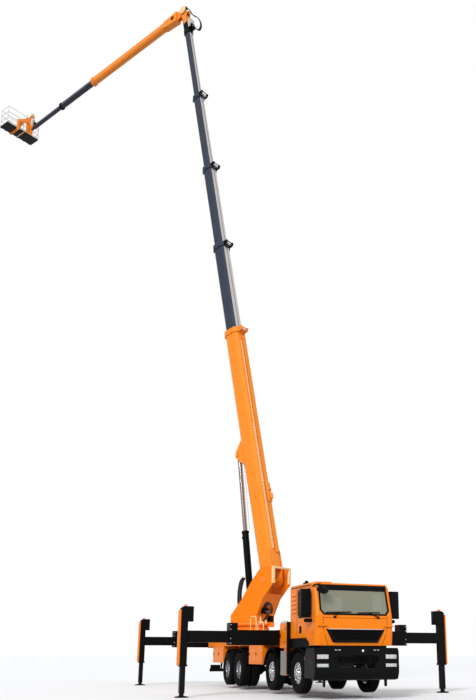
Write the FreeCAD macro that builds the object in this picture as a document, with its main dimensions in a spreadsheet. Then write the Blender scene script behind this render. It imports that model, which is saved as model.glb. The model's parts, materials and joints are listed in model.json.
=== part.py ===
import FreeCAD, Part
import Sketcher
import math
import os
import re

# Truck-mounted aerial work platform, in millimetres and degrees.
# In the truck's own frame x points to its left, y to its rear and z up. The ground is z = 0, the first
# axle is y = 0 and the centreline is x = 0. The finished part is moved so that its origin is the middle
# of the ground it covers.

Vector = FreeCAD.Vector
Rotation = FreeCAD.Rotation
Placement = FreeCAD.Placement

SIZES = {
    # Middle of the covered ground in the truck's own frame
    "origin_x": -3628.5,
    "origin_y": 11728.5,
    # Gaps between pieces
    "running_gap": 0.3,
    "seat_gap": 0.3,
    "side_gap": 5,
    "panel_gap": 8,
    # Wheels
    "wheel_radius": 546,
    "wheel_lift": 112,
    "tyre_width": 296,
    "tyre_tread_width": 236,
    "tyre_shoulder": 84,
    "tyre_bead": 130,
    "rim_width": 212,
    "rim_radius": 292,
    "rim_wall": 14,
    "disc_wall": 16,
    "hub_radius": 118,
    "hub_reach": 40,
    "drum_radius": 205,
    "spindle_radius": 42,
    "front_wheel_x": 1017,
    "rear_outer_x": 1092,
    "twin_pitch": 344,
    "round_sides": 24,
    "small_sides": 12,
    "rail_sides": 6,
    "axle2_y": 2174,
    "axle3_y": 5362,
    "axle4_y": 6731,
    # Axles, knuckles and springs
    "axle_beam_high": 110,
    "axle_beam_deep": 100,
    "kingpin_x": 790,
    "kingpin_radius": 26,
    "kingpin_boss_radius": 58,
    "kingpin_boss_high": 150,
    "knuckle_ear": 36,
    "knuckle_back": 26,
    "axle_tube_radius": 75,
    "diff_radius": 215,
    "diff_width": 330,
    "spring_width": 76,
    "spring_half_length": 690,
    "spring_thick": 64,
    "rear_spring_thick": 110,
    # Frame
    "rail_outer_x": 432,
    "rail_low": 868,
    "rail_high": 1140,
    "rail_flange": 88,
    "rail_wall": 12,
    "frame_front": -1020,
    "frame_end": 10430,
    "cross_wide": 110,
    "cross_high": 150,
    "subframe_high": 1400,
    "subframe_wide": 110,
    "subframe_front": 770,
    "tube_wall": 12,
    "cab_mount_long": 100,
    "tank_inner": 520,
    "tank_outer": 1150,
    "tank_low": 560,
    "tank_high": 1150,
    "tank_front": 1190,
    "tank_end": 1470,
    "tank_corner": 70,
    "air_tank_x": 200,
    "air_tank_z": 738,
    "air_tank_radius": 118,
    "air_tank_front": 3560,
    "air_tank_long": 1160,
    "underrun_half": 900,
    "underrun_low": 480,
    "shaft_radius": 42,
    "shaft_z": 812,
    "engine_half": 300,
    "engine_low": 770,
    "engine_high": 1490,
    "engine_front": -640,
    "engine_end": 430,
    "engine_mount": 120,
    # Outrigger boxes and beams
    "front_box_y": 1150,
    "rear_box_y": 10050,
    "box_half": 1000,
    "box_high": 470,
    "box_wall": 15,
    "bay_wide": 330,
    "beam1_wide": 320,
    "beam1_high": 430,
    "beam1_length": 2050,
    "beam1_wall": 12,
    "collar_length": 240,
    "collar_high": 630,
    "beam2_wide": 262,
    "beam2_high": 326,
    "beam2_low": 1488,
    "beam2_length": 2000,
    "beam2_wall": 10,
    "front_reach1": 2780,
    "front_reach2": 4080,
    "rear_reach1": 2480,
    "rear_reach2": 3680,
    "post_wide": 196,
    "post_wall": 14,
    "post_low": 860,
    "post_high": 2400,
    "post_cap": 90,
    "post_ring": 26,
    "guard_gap": 36,
    "guard_thick": 12,
    "guard_wide": 236,
    "guard_bracket": 40,
    "leg_wide": 146,
    "leg_wall": 14,
    "leg_high": 1460,
    "foot_radius": 190,
    "foot_thick": 42,
    "foot_neck": 70,
    # Service body
    "body_half": 1180,
    "body_front": 1560,
    "body_end": 9640,
    "deck_high": 1870,
    "deck_thick": 20,
    "skirt_low": 1440,
    "skirt_thick": 24,
    "bearer_thick": 30,
    "locker_low": 850,
    "locker_inner": 500,
    "mid_locker_front": 2960,
    "mid_locker_end": 4350,
    "rear_locker_front": 7430,
    "rear_locker_end": 8880,
    "door_relief": 8,
    "door_margin": 45,
    "pedestal_radius": 640,
    "pedestal_high": 2120,
    "slew_y": 7716,
    # Cab
    "cab_half": 1150,
    "cab_low": 1392,
    "cab_roof": 3063,
    "cab_nose": -1385,
    "cab_chin": -1340,
    "cab_brow": -1195,
    "cab_waist": 2170,
    "cab_rear": 560,
    "cab_wall": 55,
    "cab_corner": 110,
    "hatch_high": 40,
    "arch_floor": 1600,
    "arch_front": -900,
    "screen_low": 2215,
    "screen_high": 2985,
    "screen_low_half": 1010,
    "screen_high_half": 1000,
    "door_front": -1090,
    "door_rear": 20,
    "door_low": 1420,
    "hinge_x": 1162,
    "hinge_ahead": 10,
    "hinge_radius": 11,
    "hinge_high": 90,
    "door_high": 2955,
    "door_arch": 1630,
    "window_front": -1010,
    "window_rear": -75,
    "window_low": 2175,
    "window_high": 2880,
    "glass_thick": 6,
    "grille_half": 835,
    "grille_low_half": 650,
    "grille_low": 1490,
    "grille_high": 1795,
    "grille_deep": 46,
    "grille_rib": 16,
    "tow_eye_x": 905,
    "tow_eye_radius": 32,
    "bumper_half": 1240,
    "bumper_front": -1475,
    "bumper_low": 490,
    "bumper_high": 1335,
    "bumper_wall": 50,
    "bumper_side_end": -760,
    "lamp_wide": 335,
    "lamp_high": 118,
    "lamp_low": 1044,
    "slim_lamp_high": 92,
    "slim_lamp_low": 834,
    "lamp_outer": 1172,
    "lamp_deep": 36,
    "step_low": 725,
    "step_high": 1107,
    "mirror_x": 1330,
    "mirror_y": -1125,
    "mirror_low": 2140,
    "mirror_high": 2830,
    "mirror_wide": 250,
    "mirror_deep": 120,
    "arm_radius": 16,
    "guard_radius": 690,
    "guard_band": 14,
    "guard_inner_x": 860,
    "guard_first_open": 340,
    "guard_open": 190,
    "guard_outer_x": 1178,
    "cabinet_x": 1262,
    "cabinet_deep": 118,
    "cabinet_front": 606,
    "cabinet_end": 1128,
    "cabinet_low": 1340,
    "cabinet_high": 2040,
    "shield_low": 577,
    "shield_high": 1255,
    # Turret
    "slew_angle": 31.3,
    "turret_low": 2200,
    "turret_half": 525,
    "turret_plate": 40,
    "base_plate": 60,
    "slew_ring_radius": 600,
    "boom_pin_r": -950,
    "boom_pin_z": 3850,
    "boom_pin_radius": 80,
    "luff_pin_r": 70,
    "luff_pin_z": 2900,
    "luff_pin_radius": 50,
    "luff_ear": 40,
    # Boom
    "boom_angle": 78.1,
    "base_wide": 620,
    "base_deep": 700,
    "boom_wall": 12,
    "base_end": 10930,
    "base_start": 420,
    "foot_round": 350,
    "section_wide": 540,
    "section_deep": 570,
    "section_step_wide": 74,
    "section_step_deep": 80,
    "section_length": 9685,
    "section_reach": 4485,
    "section_collar": 230,
    "section_collar_wall": 34,
    "hull_bevel": 0.34,
    "hull_keel": 0.6,
    "tray_high": 20,
    "tray_margin": 18,
    "base_tray_high": 60,
    "roller_pitch": 150,
    "roller_high": 120,
    "roller_radius": 42,
    "luff_top_s": 5410,
    "luff_top_drop": 700,
    "barrel_radius": 128,
    "rod_radius": 84,
    "rod_start": 2100,
    "rod_eye_half": 84,
    "top_lug_half": 92,
    "barrel_eye_half": 90,
    "barrel_length": 2980,
    "head_reach": 1390,
    "head_ear": 34,
    "head_round": 240,
    "jib_pin_radius": 60,
    # Jib
    "jib_angle": -3.3,
    "jib_wide": 340,
    "jib_deep": 380,
    "jib_root_deep": 560,
    "jib_root_length": 1500,
    "jib_window_radius": 125,
    "jib_tongue_length": 500,
    "jib_tongue_half": 100,
    "jib_wall": 10,
    "jib_length": 7470,
    "jib2_wide": 272,
    "jib2_deep": 292,
    "jib2_reach": 3000,
    "jib3_wide": 200,
    "jib3_deep": 220,
    "jib3_reach": 2905,
    "jib_section_length": 6700,
    "jib_collar": 150,
    "jib_collar_wall": 26,
    "tip_round": 85,
    "tip_pin_radius": 30,
    "tip_half": 50,
    "tip_ear": 24,
    # Basket
    "basket_wide": 2120,
    "basket_deep": 780,
    "basket_rail_high": 1120,
    "basket_floor_drop": 214,
    "basket_floor_thick": 60,
    "basket_off_r": 335,
    "basket_off_side": 418,
    "rail_tube_radius": 18,
    "basket_beam_deep": 70,
    "basket_frame_thick": 34,
    "post_r": 120,
    "swing_pin_radius": 45,
    "swing_pin_high": 900,
}

doc = FreeCAD.newDocument("aerial_platform_truck")
sheet = doc.addObject("Spreadsheet::Sheet", "sizes")
for row, (alias, value) in enumerate(SIZES.items(), start=1):
    sheet.set(f"A{row}", alias)
    sheet.set(f"B{row}", str(value))
    sheet.setAlias(f"B{row}", alias)
doc.recompute()

sub_parts = []


def ex(text):
    """An expression on the sheet, written with plain size names."""
    return re.sub(
        r"[A-Za-z_]\w*",
        lambda word: "sizes." + word.group(0) if word.group(0) in SIZES else word.group(0),
        str(text),
    )


def number(text):
    """The value of such an expression now."""
    return float(sheet.evalExpression(ex(text)))


def bind(item, name, text):
    item.setExpression(name, ex(text))


def stand(item, x="0", y="0", z="0"):
    """Puts an item at a point given by three expressions."""
    for letter, text in zip("xyz", (x, y, z)):
        bind(item, f"Placement.Base.{letter}", text)
    return item


def block(name, x, y, z):
    """A box between two expressions on each axis."""
    item = doc.addObject("Part::Box", name)
    for prop, (low, high) in zip(("Length", "Width", "Height"), (x, y, z)):
        bind(item, prop, f"({high}) - ({low})")
    return stand(item, x[0], y[0], z[0])


TURNS = {
    "x": Rotation(Vector(0, 1, 0), 90),
    "y": Rotation(Vector(1, 0, 0), -90),
    "z": Rotation(),
}


def rod(name, axis, at, radius, length):
    """A cylinder that starts at a point and runs along one axis."""
    item = doc.addObject("Part::Cylinder", name)
    item.Placement = Placement(Vector(), TURNS[axis])
    bind(item, "Radius", radius)
    bind(item, "Height", length)
    return stand(item, *at)


def faceted(name, axis, at, radius, length, sides="round_sides"):
    """A round bar in a few flat faces, for what is wide or repeats often."""
    item = doc.addObject("Part::Prism", name)
    item.Polygon = int(number(sides))
    item.Placement = Placement(Vector(), TURNS[axis])
    bind(item, "Circumradius", radius)
    bind(item, "Height", length)
    return stand(item, *at)


def origin_plane(body, plane):
    for feature in body.Origin.OriginFeatures:
        if feature.Role == plane + "_Plane":
            return feature
    raise ValueError(plane)


def outline(body, plane, loops, offset="0"):
    """A sketch of closed outlines whose corners are bound to expressions."""
    sketch = body.newObject("Sketcher::SketchObject", body.Name + "_outline")
    sketch.AttachmentSupport = (origin_plane(body, plane), [""])
    sketch.MapMode = "FlatFace"
    bind(sketch, "AttachmentOffset.Base.z", offset)
    for corners in loops:
        first = sketch.GeometryCount
        count = len(corners)
        spots = [Vector(number(u), number(v), 0) for u, v in corners]
        for k in range(count):
            sketch.addGeometry(Part.LineSegment(spots[k], spots[(k + 1) % count]), False)
        for k in range(count):
            nearby = first + (k + 1) % count
            sketch.addConstraint(Sketcher.Constraint("Coincident", first + k, 2, nearby, 1))
            for kind, text, at in zip(("DistanceX", "DistanceY"), corners[k], spots[k]):
                limit = Sketcher.Constraint(kind, -1, 1, first + k, 1, at)
                bind(sketch, f"Constraints[{sketch.addConstraint(limit)}]", text)
    return sketch


def panel(name, plane, corners, low, high, *holes):
    """An outline padded between two distances along the plane's axis."""
    body = doc.addObject("PartDesign::Body", name)
    offset = f"-({high})" if plane == "XZ" else low
    sketch = outline(body, plane, [corners, *holes], offset)
    pad = body.newObject("PartDesign::Pad", name + "_pad")
    pad.Profile = sketch
    bind(pad, "Length", f"({high}) - ({low})")
    return body


def box_corners(u, v):
    """The corners of a rectangle between two expressions each way."""
    return [(u[0], v[0]), (u[1], v[0]), (u[1], v[1]), (u[0], v[1])]


def fuse(name, items):
    item = doc.addObject("Part::MultiFuse", name)
    item.Shapes = items
    return item


def together(name, items):
    """Solids of one sub-part that do not touch each other."""
    item = doc.addObject("Part::Compound", name)
    item.Links = items
    return item


def cut(name, base, tools):
    item = doc.addObject("Part::Cut", name)
    item.Base = base
    item.Tool = tools[0] if len(tools) == 1 else fuse(name + "_tools", tools)
    return item


def mirrored(item, name, normal=Vector(1, 0, 0)):
    """The same shape on the other side of the middle plane."""
    copy = doc.addObject("Part::Mirroring", name)
    copy.Source = item
    copy.Normal = normal
    return copy


def both_sides(item, normal=Vector(1, 0, 0)):
    return [item, mirrored(item, item.Name + "_other", normal)]


def rounded(name, item, radius, keep):
    """Rounds each straight edge for which keep(start, end) is true."""
    doc.recompute()
    picks = []
    for index, edge in enumerate(item.Shape.Edges, start=1):
        ends = [vertex.Point for vertex in edge.Vertexes]
        if len(ends) == 2 and edge.Curve.TypeId == "Part::GeomLine" and keep(*ends):
            picks.append((index, number(radius), number(radius)))
    round_item = doc.addObject("Part::Fillet", name)
    round_item.Base = item
    round_item.Edges = picks
    return round_item


def bevelled(name, item, down, along, radius):
    """Cuts back the end edges of a many-sided bar or bore of one radius about x: down its radius by one
    size, along x by the other."""
    doc.recompute()
    picks = []
    reach = number(radius)
    for index, edge in enumerate(item.Shape.Edges, start=1):
        start, end = (vertex.Point for vertex in edge.Vertexes)
        level = abs(start.x - end.x) < 0.01
        if level and abs(math.hypot(start.y, start.z) - reach) < 0.01 and edge.Length > 1:
            picks.append((index, number(along), number(down)))
    bevel = doc.addObject("Part::Chamfer", name)
    bevel.Base = item
    bevel.Edges = picks
    return bevel


def in_truck(x=0.0, y=0.0, z=0.0, turn=0.0):
    """A place in the truck's own frame, turned about the vertical."""
    base = Vector(x - number("origin_x"), y - number("origin_y"), z)
    return Placement(base, Rotation(Vector(0, 0, 1), turn))


def in_turret():
    """Turret frame: x points along the boom's heading, from the slewing axis."""
    return in_truck(y=number("slew_y"), turn=90 + number("slew_angle"))


def on_boom(reach=0.0):
    """Boom frame: x runs along the boom from its pin, z towards its upper side."""
    pin = Vector(number("boom_pin_r"), 0, number("boom_pin_z"))
    tilt = Placement(pin, Rotation(Vector(0, 1, 0), -number("boom_angle")))
    return in_turret().multiply(tilt).multiply(Placement(Vector(reach, 0, 0), Rotation()))


def on_jib(reach=0.0):
    """Jib frame: x runs along the jib from its pin."""
    bend = number("boom_angle - jib_angle")
    tilt = Placement(Vector(number(HEAD_PIN), 0, 0), Rotation(Vector(0, 1, 0), bend))
    return on_boom().multiply(tilt).multiply(Placement(Vector(reach, 0, 0), Rotation()))


def on_basket():
    """Basket frame: level, at the pin on the jib's tip."""
    level = Placement(Vector(), Rotation(Vector(0, 1, 0), number("jib_angle")))
    return on_jib(number(JIB_TIP)).multiply(level)


def sub_part(name, item, place):
    """Names a finished sub-part and puts it in its place."""
    item.Label = name
    item.Placement = place
    sub_parts.append(item)


HEAD_PIN = "base_end + 4*section_reach + head_reach"
JIB_TIP = "jib_length + jib2_reach + jib3_reach"
AXLE_Z = "wheel_radius + wheel_lift"


# Frame

def chassis_frame():
    """Two channel rails with cross members and cab mounts, and two box tubes that carry the upper works."""
    inner = "rail_outer_x - rail_wall"
    lip = "rail_outer_x - rail_flange"
    channel = [
        ("rail_outer_x", "rail_low"),
        ("rail_outer_x", "rail_high"),
        (lip, "rail_high"),
        (lip, "rail_high - rail_wall"),
        (inner, "rail_high - rail_wall"),
        (inner, "rail_low + rail_wall"),
        (lip, "rail_low + rail_wall"),
        (lip, "rail_low"),
    ]
    rail = panel("rail", "XZ", channel, "frame_front", "frame_end")
    tube_x = ("rail_outer_x - subframe_wide", "rail_outer_x")
    tube_z = ("rail_high", "subframe_high")
    hollow_x = ("rail_outer_x - subframe_wide + tube_wall", "rail_outer_x - tube_wall")
    hollow_z = ("rail_high + tube_wall", "subframe_high - tube_wall")
    tube = panel("subframe_tube", "XZ", box_corners(tube_x, tube_z), "subframe_front", "frame_end",
                 box_corners(hollow_x, hollow_z))
    pieces = both_sides(rail) + both_sides(tube)
    middle = "(rail_low + rail_high)/2"
    spots = ["frame_front + 60", "560", "3700", "4600", "axle3_y + 690", "7500", "9000", "frame_end - 60"]
    for k, at in enumerate(spots):
        pieces.append(block(f"cross_{k}", ("-rail_outer_x + rail_wall", inner),
                            (f"{at} - cross_wide/2", f"{at} + cross_wide/2"),
                            (f"{middle} - cross_high/2", f"{middle} + cross_high/2")))
    ties = ["subframe_front + 80", "4300", "slew_y - 560", "slew_y + 560", "frame_end - 80"]
    for k, at in enumerate(ties):
        pieces.append(block(f"tie_{k}", ("-rail_outer_x + subframe_wide", "rail_outer_x - subframe_wide"),
                            (f"{at} - 40", f"{at} + 40"), ("rail_high + 30", "subframe_high - 30")))
    for name, front, top in (("front", "frame_front + 5", "cab_low"), ("rear", "cab_rear - 130", "arch_floor")):
        mount = block(f"cab_mount_{name}", ("rail_outer_x - rail_flange", "rail_outer_x"),
                      (front, f"{front} + cab_mount_long"), ("rail_high - rail_wall", f"{top} - seat_gap"))
        pieces += both_sides(mount)
    pieces += [*fuel_tank(), *air_tanks(), *underrun_bar()]
    sub_part("chassis_frame", fuse("frame", pieces), in_truck())


def fuel_tank():
    """Eight-sided tank on the left between the first two axles, with two straps and two brackets."""
    def shell(grow):
        low_x, high_x = f"tank_inner - {grow}", f"tank_outer + {grow}"
        low_z, high_z = f"tank_low - {grow}", f"tank_high + {grow}"
        soft = "tank_corner"
        return [(low_x, f"{low_z} + {soft}"), (f"{low_x} + {soft}", low_z), (f"{high_x} - {soft}", low_z),
                (high_x, f"{low_z} + {soft}"), (high_x, f"{high_z} - {soft}"), (f"{high_x} - {soft}", high_z),
                (f"{low_x} + {soft}", high_z), (low_x, f"{high_z} - {soft}")]

    items = [panel("fuel_tank", "XZ", shell("0"), "tank_front", "tank_end")]
    for k, at in enumerate(("tank_front + 30", "tank_end - 90")):
        items.append(panel(f"tank_strap_{k}", "XZ", shell("6"), at, f"{at} + 60"))
        items.append(panel(f"tank_bracket_{k}", "XZ", [
            ("rail_outer_x - 4", "rail_high - 30"), ("rail_outer_x - 4", "rail_low + 20"),
            ("tank_inner + 30", "tank_low + 130"), ("tank_inner + 30", "rail_high - 60")],
            f"{at} + 18", f"{at} + 42"))
    return items


def air_tanks():
    """Two brake air tanks hung between the rails, behind the second axle."""
    items = []
    for k, sign in enumerate("-+"):
        middle = f"({sign}air_tank_x)"
        items.append(faceted(f"air_tank_{k}", "y", (middle, "air_tank_front", "air_tank_z"), "air_tank_radius",
                             "air_tank_long", "small_sides"))
        for j, at in enumerate(("3700", "4600")):
            items.append(block(f"air_tank_hanger_{k}_{j}", (f"{middle} - 14", f"{middle} + 14"),
                               (f"{at} - 20", f"{at} + 20"),
                               ("air_tank_z + air_tank_radius*0.8", "(rail_low + rail_high)/2 - cross_high/2 + 4")))
    return items


def underrun_bar():
    """Bar across the tail below the deck, on two brackets, with a lamp box at each end."""
    bar_x = "underrun_half"
    items = [panel("underrun_bar", "YZ", [
        ("frame_end - 110", "underrun_low + 20"), ("frame_end - 90", "underrun_low"),
        ("frame_end - 10", "underrun_low"), ("frame_end", "underrun_low + 20"),
        ("frame_end", "underrun_low + 100"), ("frame_end - 20", "underrun_low + 120"),
        ("frame_end - 110", "underrun_low + 120")], f"-{bar_x}", bar_x)]
    bracket = panel("underrun_bracket", "YZ", [
        ("frame_end - 120", "underrun_low + 60"), ("frame_end - 30", "underrun_low + 60"),
        ("frame_end - 20", "rail_high - 20"), ("frame_end - 300", "rail_high - 20"),
        ("frame_end - 300", "rail_low + 40")], "rail_outer_x - 4", "rail_outer_x + 20")
    lamp = block("tail_lamp_box", (f"{bar_x} - 430", f"{bar_x} - 40"), ("frame_end - 60", "frame_end + 30"),
                 ("underrun_low + 116", "underrun_low + 260"))
    return [*items, *both_sides(bracket), *both_sides(lamp)]


def outrigger_boxes():
    """A two-bay box across the frame at each end, one bay for each side's beam."""
    boxes = []
    for place in ("front", "rear"):
        middle = f"{place}_box_y"
        pitch = "(bay_wide + box_wall)/2"
        outer = (f"{middle} - bay_wide - 1.5*box_wall", f"{middle} + bay_wide + 1.5*box_wall")
        high = ("subframe_high", "subframe_high + box_high")
        inside = ("subframe_high + box_wall", "subframe_high + box_high - box_wall")
        bays = []
        for sign in "-+":
            centre = f"{middle} {sign} {pitch}"
            bays.append(box_corners((f"{centre} - bay_wide/2", f"{centre} + bay_wide/2"), inside))
        box = panel(f"{place}_box", "YZ", box_corners(outer, high), "-box_half", "box_half", *bays)
        mouths = []
        for side, sign, (low, top) in (("left", "-", ("box_half - collar_length", "box_half + 10")),
                                       ("right", "+", ("-box_half - 10", "-box_half + collar_length"))):
            centre = f"{middle} {sign} {pitch}"
            mouths.append(block(f"{place}_mouth_{side}", (low, top),
                                (f"{centre} - bay_wide/2", f"{centre} + bay_wide/2"),
                                (f"{inside[1]} - 5", f"{high[1]} + 5")))
        boxes.append(cut(f"{place}_box_open", box, mouths))
    sub_part("outrigger_boxes", together("boxes", boxes), in_truck())


def service_body():
    """Deck with skirts and lockers, and the pedestal under the slewing ring."""
    deck = block("deck", ("-body_half", "body_half"), ("body_front", "body_end"),
                 ("deck_high - deck_thick", "deck_high"))
    pieces = [deck]
    skirt = block("skirt", ("body_half - skirt_thick", "body_half"), ("body_front", "body_end"),
                  ("skirt_low", "deck_high"))
    pieces += both_sides(skirt)
    bearers = ["body_front + 100", "3700", "5500", "slew_y + 1100", "body_end - 100"]
    for k, at in enumerate(bearers):
        pieces.append(block(f"bearer_{k}", ("-body_half", "body_half"),
                            (f"{at} - bearer_thick/2", f"{at} + bearer_thick/2"),
                            ("subframe_high + seat_gap", "deck_high - deck_thick")))
    for place in ("mid", "rear"):
        front = f"{place}_locker_front"
        end = f"{place}_locker_end"
        top = "skirt_low + 90" if place == "rear" else "skirt_low"
        box = block(f"{place}_locker", ("locker_inner", "body_half"), (front, end), ("locker_low", top))
        half = f"({front} + {end})/2"
        doors = []
        for k, (low, high) in enumerate(((front, half), (half, end))):
            doors.append(block(f"{place}_door_{k}", ("body_half", "body_half + door_relief"),
                               (f"{low} + door_margin/2", f"{high} - door_margin/2"),
                               ("locker_low + door_margin", f"{top} - door_margin/2")))
        pieces += both_sides(fuse(f"{place}_locker_set", [box, *doors]))
    pieces.append(faceted("pedestal", "z", ("0", "slew_y", "subframe_high + seat_gap"), "pedestal_radius",
                          "pedestal_high - subframe_high - seat_gap"))
    sub_part("service_body", fuse("service", pieces), in_truck())


def engine_block():
    """One plain block between the rails, on four mounts."""
    core = block("engine_core", ("-engine_half", "engine_half"), ("engine_front", "engine_end"),
                 ("engine_low", "engine_high"))
    mounts = []
    for k, at in enumerate(("engine_front + 200", "engine_end - 200")):
        mounts.append(block(f"engine_mount_{k}", ("-rail_outer_x + rail_wall", "rail_outer_x - rail_wall"),
                            (at, f"{at} + engine_mount"), ("rail_low + 60", "rail_high - 60")))
    sub_part("engine_block", fuse("engine", [core, *mounts]), in_truck())


# Axles and wheels

def leaf_pack(name, centre, thick, low, arch):
    """A leaf spring's side outline, padded to its width under the rail."""
    half = "spring_half_length"
    end = f"({low} + {arch})"
    corners = [
        (f"{centre} - {half}", end),
        (f"{centre} - {half}/2", f"{low} + {arch}*0.25"),
        (centre, low),
        (f"{centre} + {half}/2", f"{low} + {arch}*0.25"),
        (f"{centre} + {half}", end),
        (f"{centre} + {half}", f"{end} + 20"),
        (f"{centre} + {half}/2", f"{low} + {arch}*0.25 + {thick}*0.8"),
        (centre, f"{low} + {thick}"),
        (f"{centre} - {half}/2", f"{low} + {arch}*0.25 + {thick}*0.8"),
        (f"{centre} - {half}", f"{end} + 20"),
    ]
    low_x = "rail_outer_x - rail_flange + 4"
    return panel(name, "YZ", corners, low_x, f"{low_x} + spring_width")


def front_axles():
    """Two forged beams with kingpin bosses, each under a pair of leaf springs."""
    pieces = []
    for k, at in enumerate(("0", "axle2_y")):
        drop = "axle_beam_high"
        corners = [
            ("-kingpin_x", f"{AXLE_Z} - {drop}/2"),
            ("-480", f"{AXLE_Z} - {drop}"),
            ("480", f"{AXLE_Z} - {drop}"),
            ("kingpin_x", f"{AXLE_Z} - {drop}/2"),
            ("kingpin_x", f"{AXLE_Z} + {drop}/2"),
            ("480", f"{AXLE_Z} + {drop}/4"),
            ("-480", f"{AXLE_Z} + {drop}/4"),
            ("-kingpin_x", f"{AXLE_Z} + {drop}/2"),
        ]
        beam = panel(f"beam_{k}", "XZ", corners, f"{at} - axle_beam_deep/2", f"{at} + axle_beam_deep/2")
        boss = faceted(f"boss_{k}", "z", ("kingpin_x", at, f"{AXLE_Z} - kingpin_boss_high/2"),
                       "kingpin_boss_radius", "kingpin_boss_high", "small_sides")
        seat_low = f"{AXLE_Z} + axle_beam_high/4"
        spring = leaf_pack(f"spring_{k}", at, "spring_thick", f"{seat_low} - 4",
                           "(rail_low - seat_gap - 20 - axle_beam_high/4 + 4 - wheel_radius - wheel_lift)")
        whole = fuse(f"axle_set_{k}", [beam, *both_sides(boss), *both_sides(spring)])
        bore = rod(f"kingpin_bore_{k}", "z", ("kingpin_x", at, f"{AXLE_Z} - kingpin_boss_high"),
                   "kingpin_radius + running_gap", "2*kingpin_boss_high")
        pieces.append(cut(f"front_axle_{k}", whole, both_sides(bore)))
    sub_part("front_axles", together("front_axle_pair", pieces), in_truck())


def rear_axles():
    """Two driven axles with their differentials and shaft, joined by the bogie springs."""
    pieces = []
    for k, at in enumerate(("axle3_y", "axle4_y")):
        tube = faceted(f"tube_{k}", "x", ("-locker_inner", at, AXLE_Z), "axle_tube_radius", "2*locker_inner",
                       "small_sides")
        spindle = faceted(f"spindle_{k}", "x", ("-rear_outer_x - 60", at, AXLE_Z), "spindle_radius",
                          "2*rear_outer_x + 120", "small_sides")
        bowl = faceted(f"diff_bowl_{k}", "x", ("-diff_width/2", "0", "0"), "diff_radius", "diff_width", "small_sides")
        diff = bevelled(f"diff_{k}", bowl, "diff_radius*0.45", "diff_width*0.35", "diff_radius")
        stand(diff, "0", at, AXLE_Z)
        pieces += [tube, spindle, diff]
    pieces.append(faceted("shaft", "y", ("0", "engine_end + seat_gap", "shaft_z"), "shaft_radius",
                          "axle4_y - engine_end - diff_radius*0.6", "small_sides"))
    for k, at in enumerate(("engine_end + 60", "axle3_y - 420", "axle3_y + 420")):
        pieces.append(faceted(f"shaft_joint_{k}", "y", ("0", at, "shaft_z"), "shaft_radius + 26", "90",
                              "small_sides"))
    middle = "(axle3_y + axle4_y)/2"
    half = "(axle4_y - axle3_y)/2"
    low = f"{AXLE_Z} + axle_tube_radius - 12"
    corners = [
        (f"{middle} - {half} - 70", low),
        (f"{middle} + {half} + 70", low),
        (f"{middle} + {half} + 70", f"{low} + 40"),
        (f"{middle} + 160", "rail_low - seat_gap"),
        (f"{middle} - 160", "rail_low - seat_gap"),
        (f"{middle} - {half} - 70", f"{low} + 40"),
    ]
    low_x = "rail_outer_x - rail_flange + 4"
    spring = panel("bogie_spring", "YZ", corners, low_x, f"{low_x} + spring_width")
    pieces += both_sides(spring)
    sub_part("rear_axles", fuse("rear_axle_pair", pieces), in_truck())


def tyre_solid(name):
    """A tyre about its middle plane: beads, swelling sidewalls and a flat tread."""
    half = "tyre_width/2"
    body = faceted(f"{name}_body", "x", (f"-{half}", "0", "0"), "wheel_radius", "tyre_width")
    crown = bevelled(f"{name}_crown", body, "tyre_shoulder", "(tyre_width - tyre_tread_width)/2", "wheel_radius")
    bore = faceted(f"{name}_bore", "x", (f"-{half} - 10", "0", "0"), "rim_radius + 2", "tyre_width + 20")
    return bevelled(name, cut(f"{name}_open", crown, [bore]), "tyre_bead", "(tyre_width - rim_width)/2",
                    "rim_radius + 2")


def rim_solid(name, disc, nave):
    """Rim with its disc and hub. The hub bore runs on the spindle. The disc stands at one x, the hub's
    nave reaches to another."""
    half = "rim_width/2"
    lip = "rim_radius - rim_wall"
    band = faceted(f"{name}_band", "x", (f"-{half}", "0", "0"), "rim_radius + 1.7", "rim_width")
    front = faceted(f"{name}_front", "x", (disc, "0", "0"), lip, "rim_width")
    back = faceted(f"{name}_back", "x", (f"{disc} - disc_wall - rim_width", "0", "0"), lip, "rim_width")
    hub = faceted(f"{name}_hub", "x", (f"{disc} - disc_wall - hub_reach", "0", "0"), "hub_radius",
                  "disc_wall + hub_reach + 12", "small_sides")
    cap = faceted(f"{name}_cap", "x", (disc, "0", "0"), "hub_radius - 22", f"({nave}) - ({disc})", "small_sides")
    bore = rod(f"{name}_bore", "x", (f"{disc} - disc_wall - hub_reach - 10", "0", "0"), "spindle_radius + running_gap",
               f"({nave}) - ({disc}) + disc_wall + hub_reach + 20")
    return cut(name, fuse(f"{name}_solid", [cut(f"{name}_dish", band, [front, back]), hub, cap]), [bore])


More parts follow.
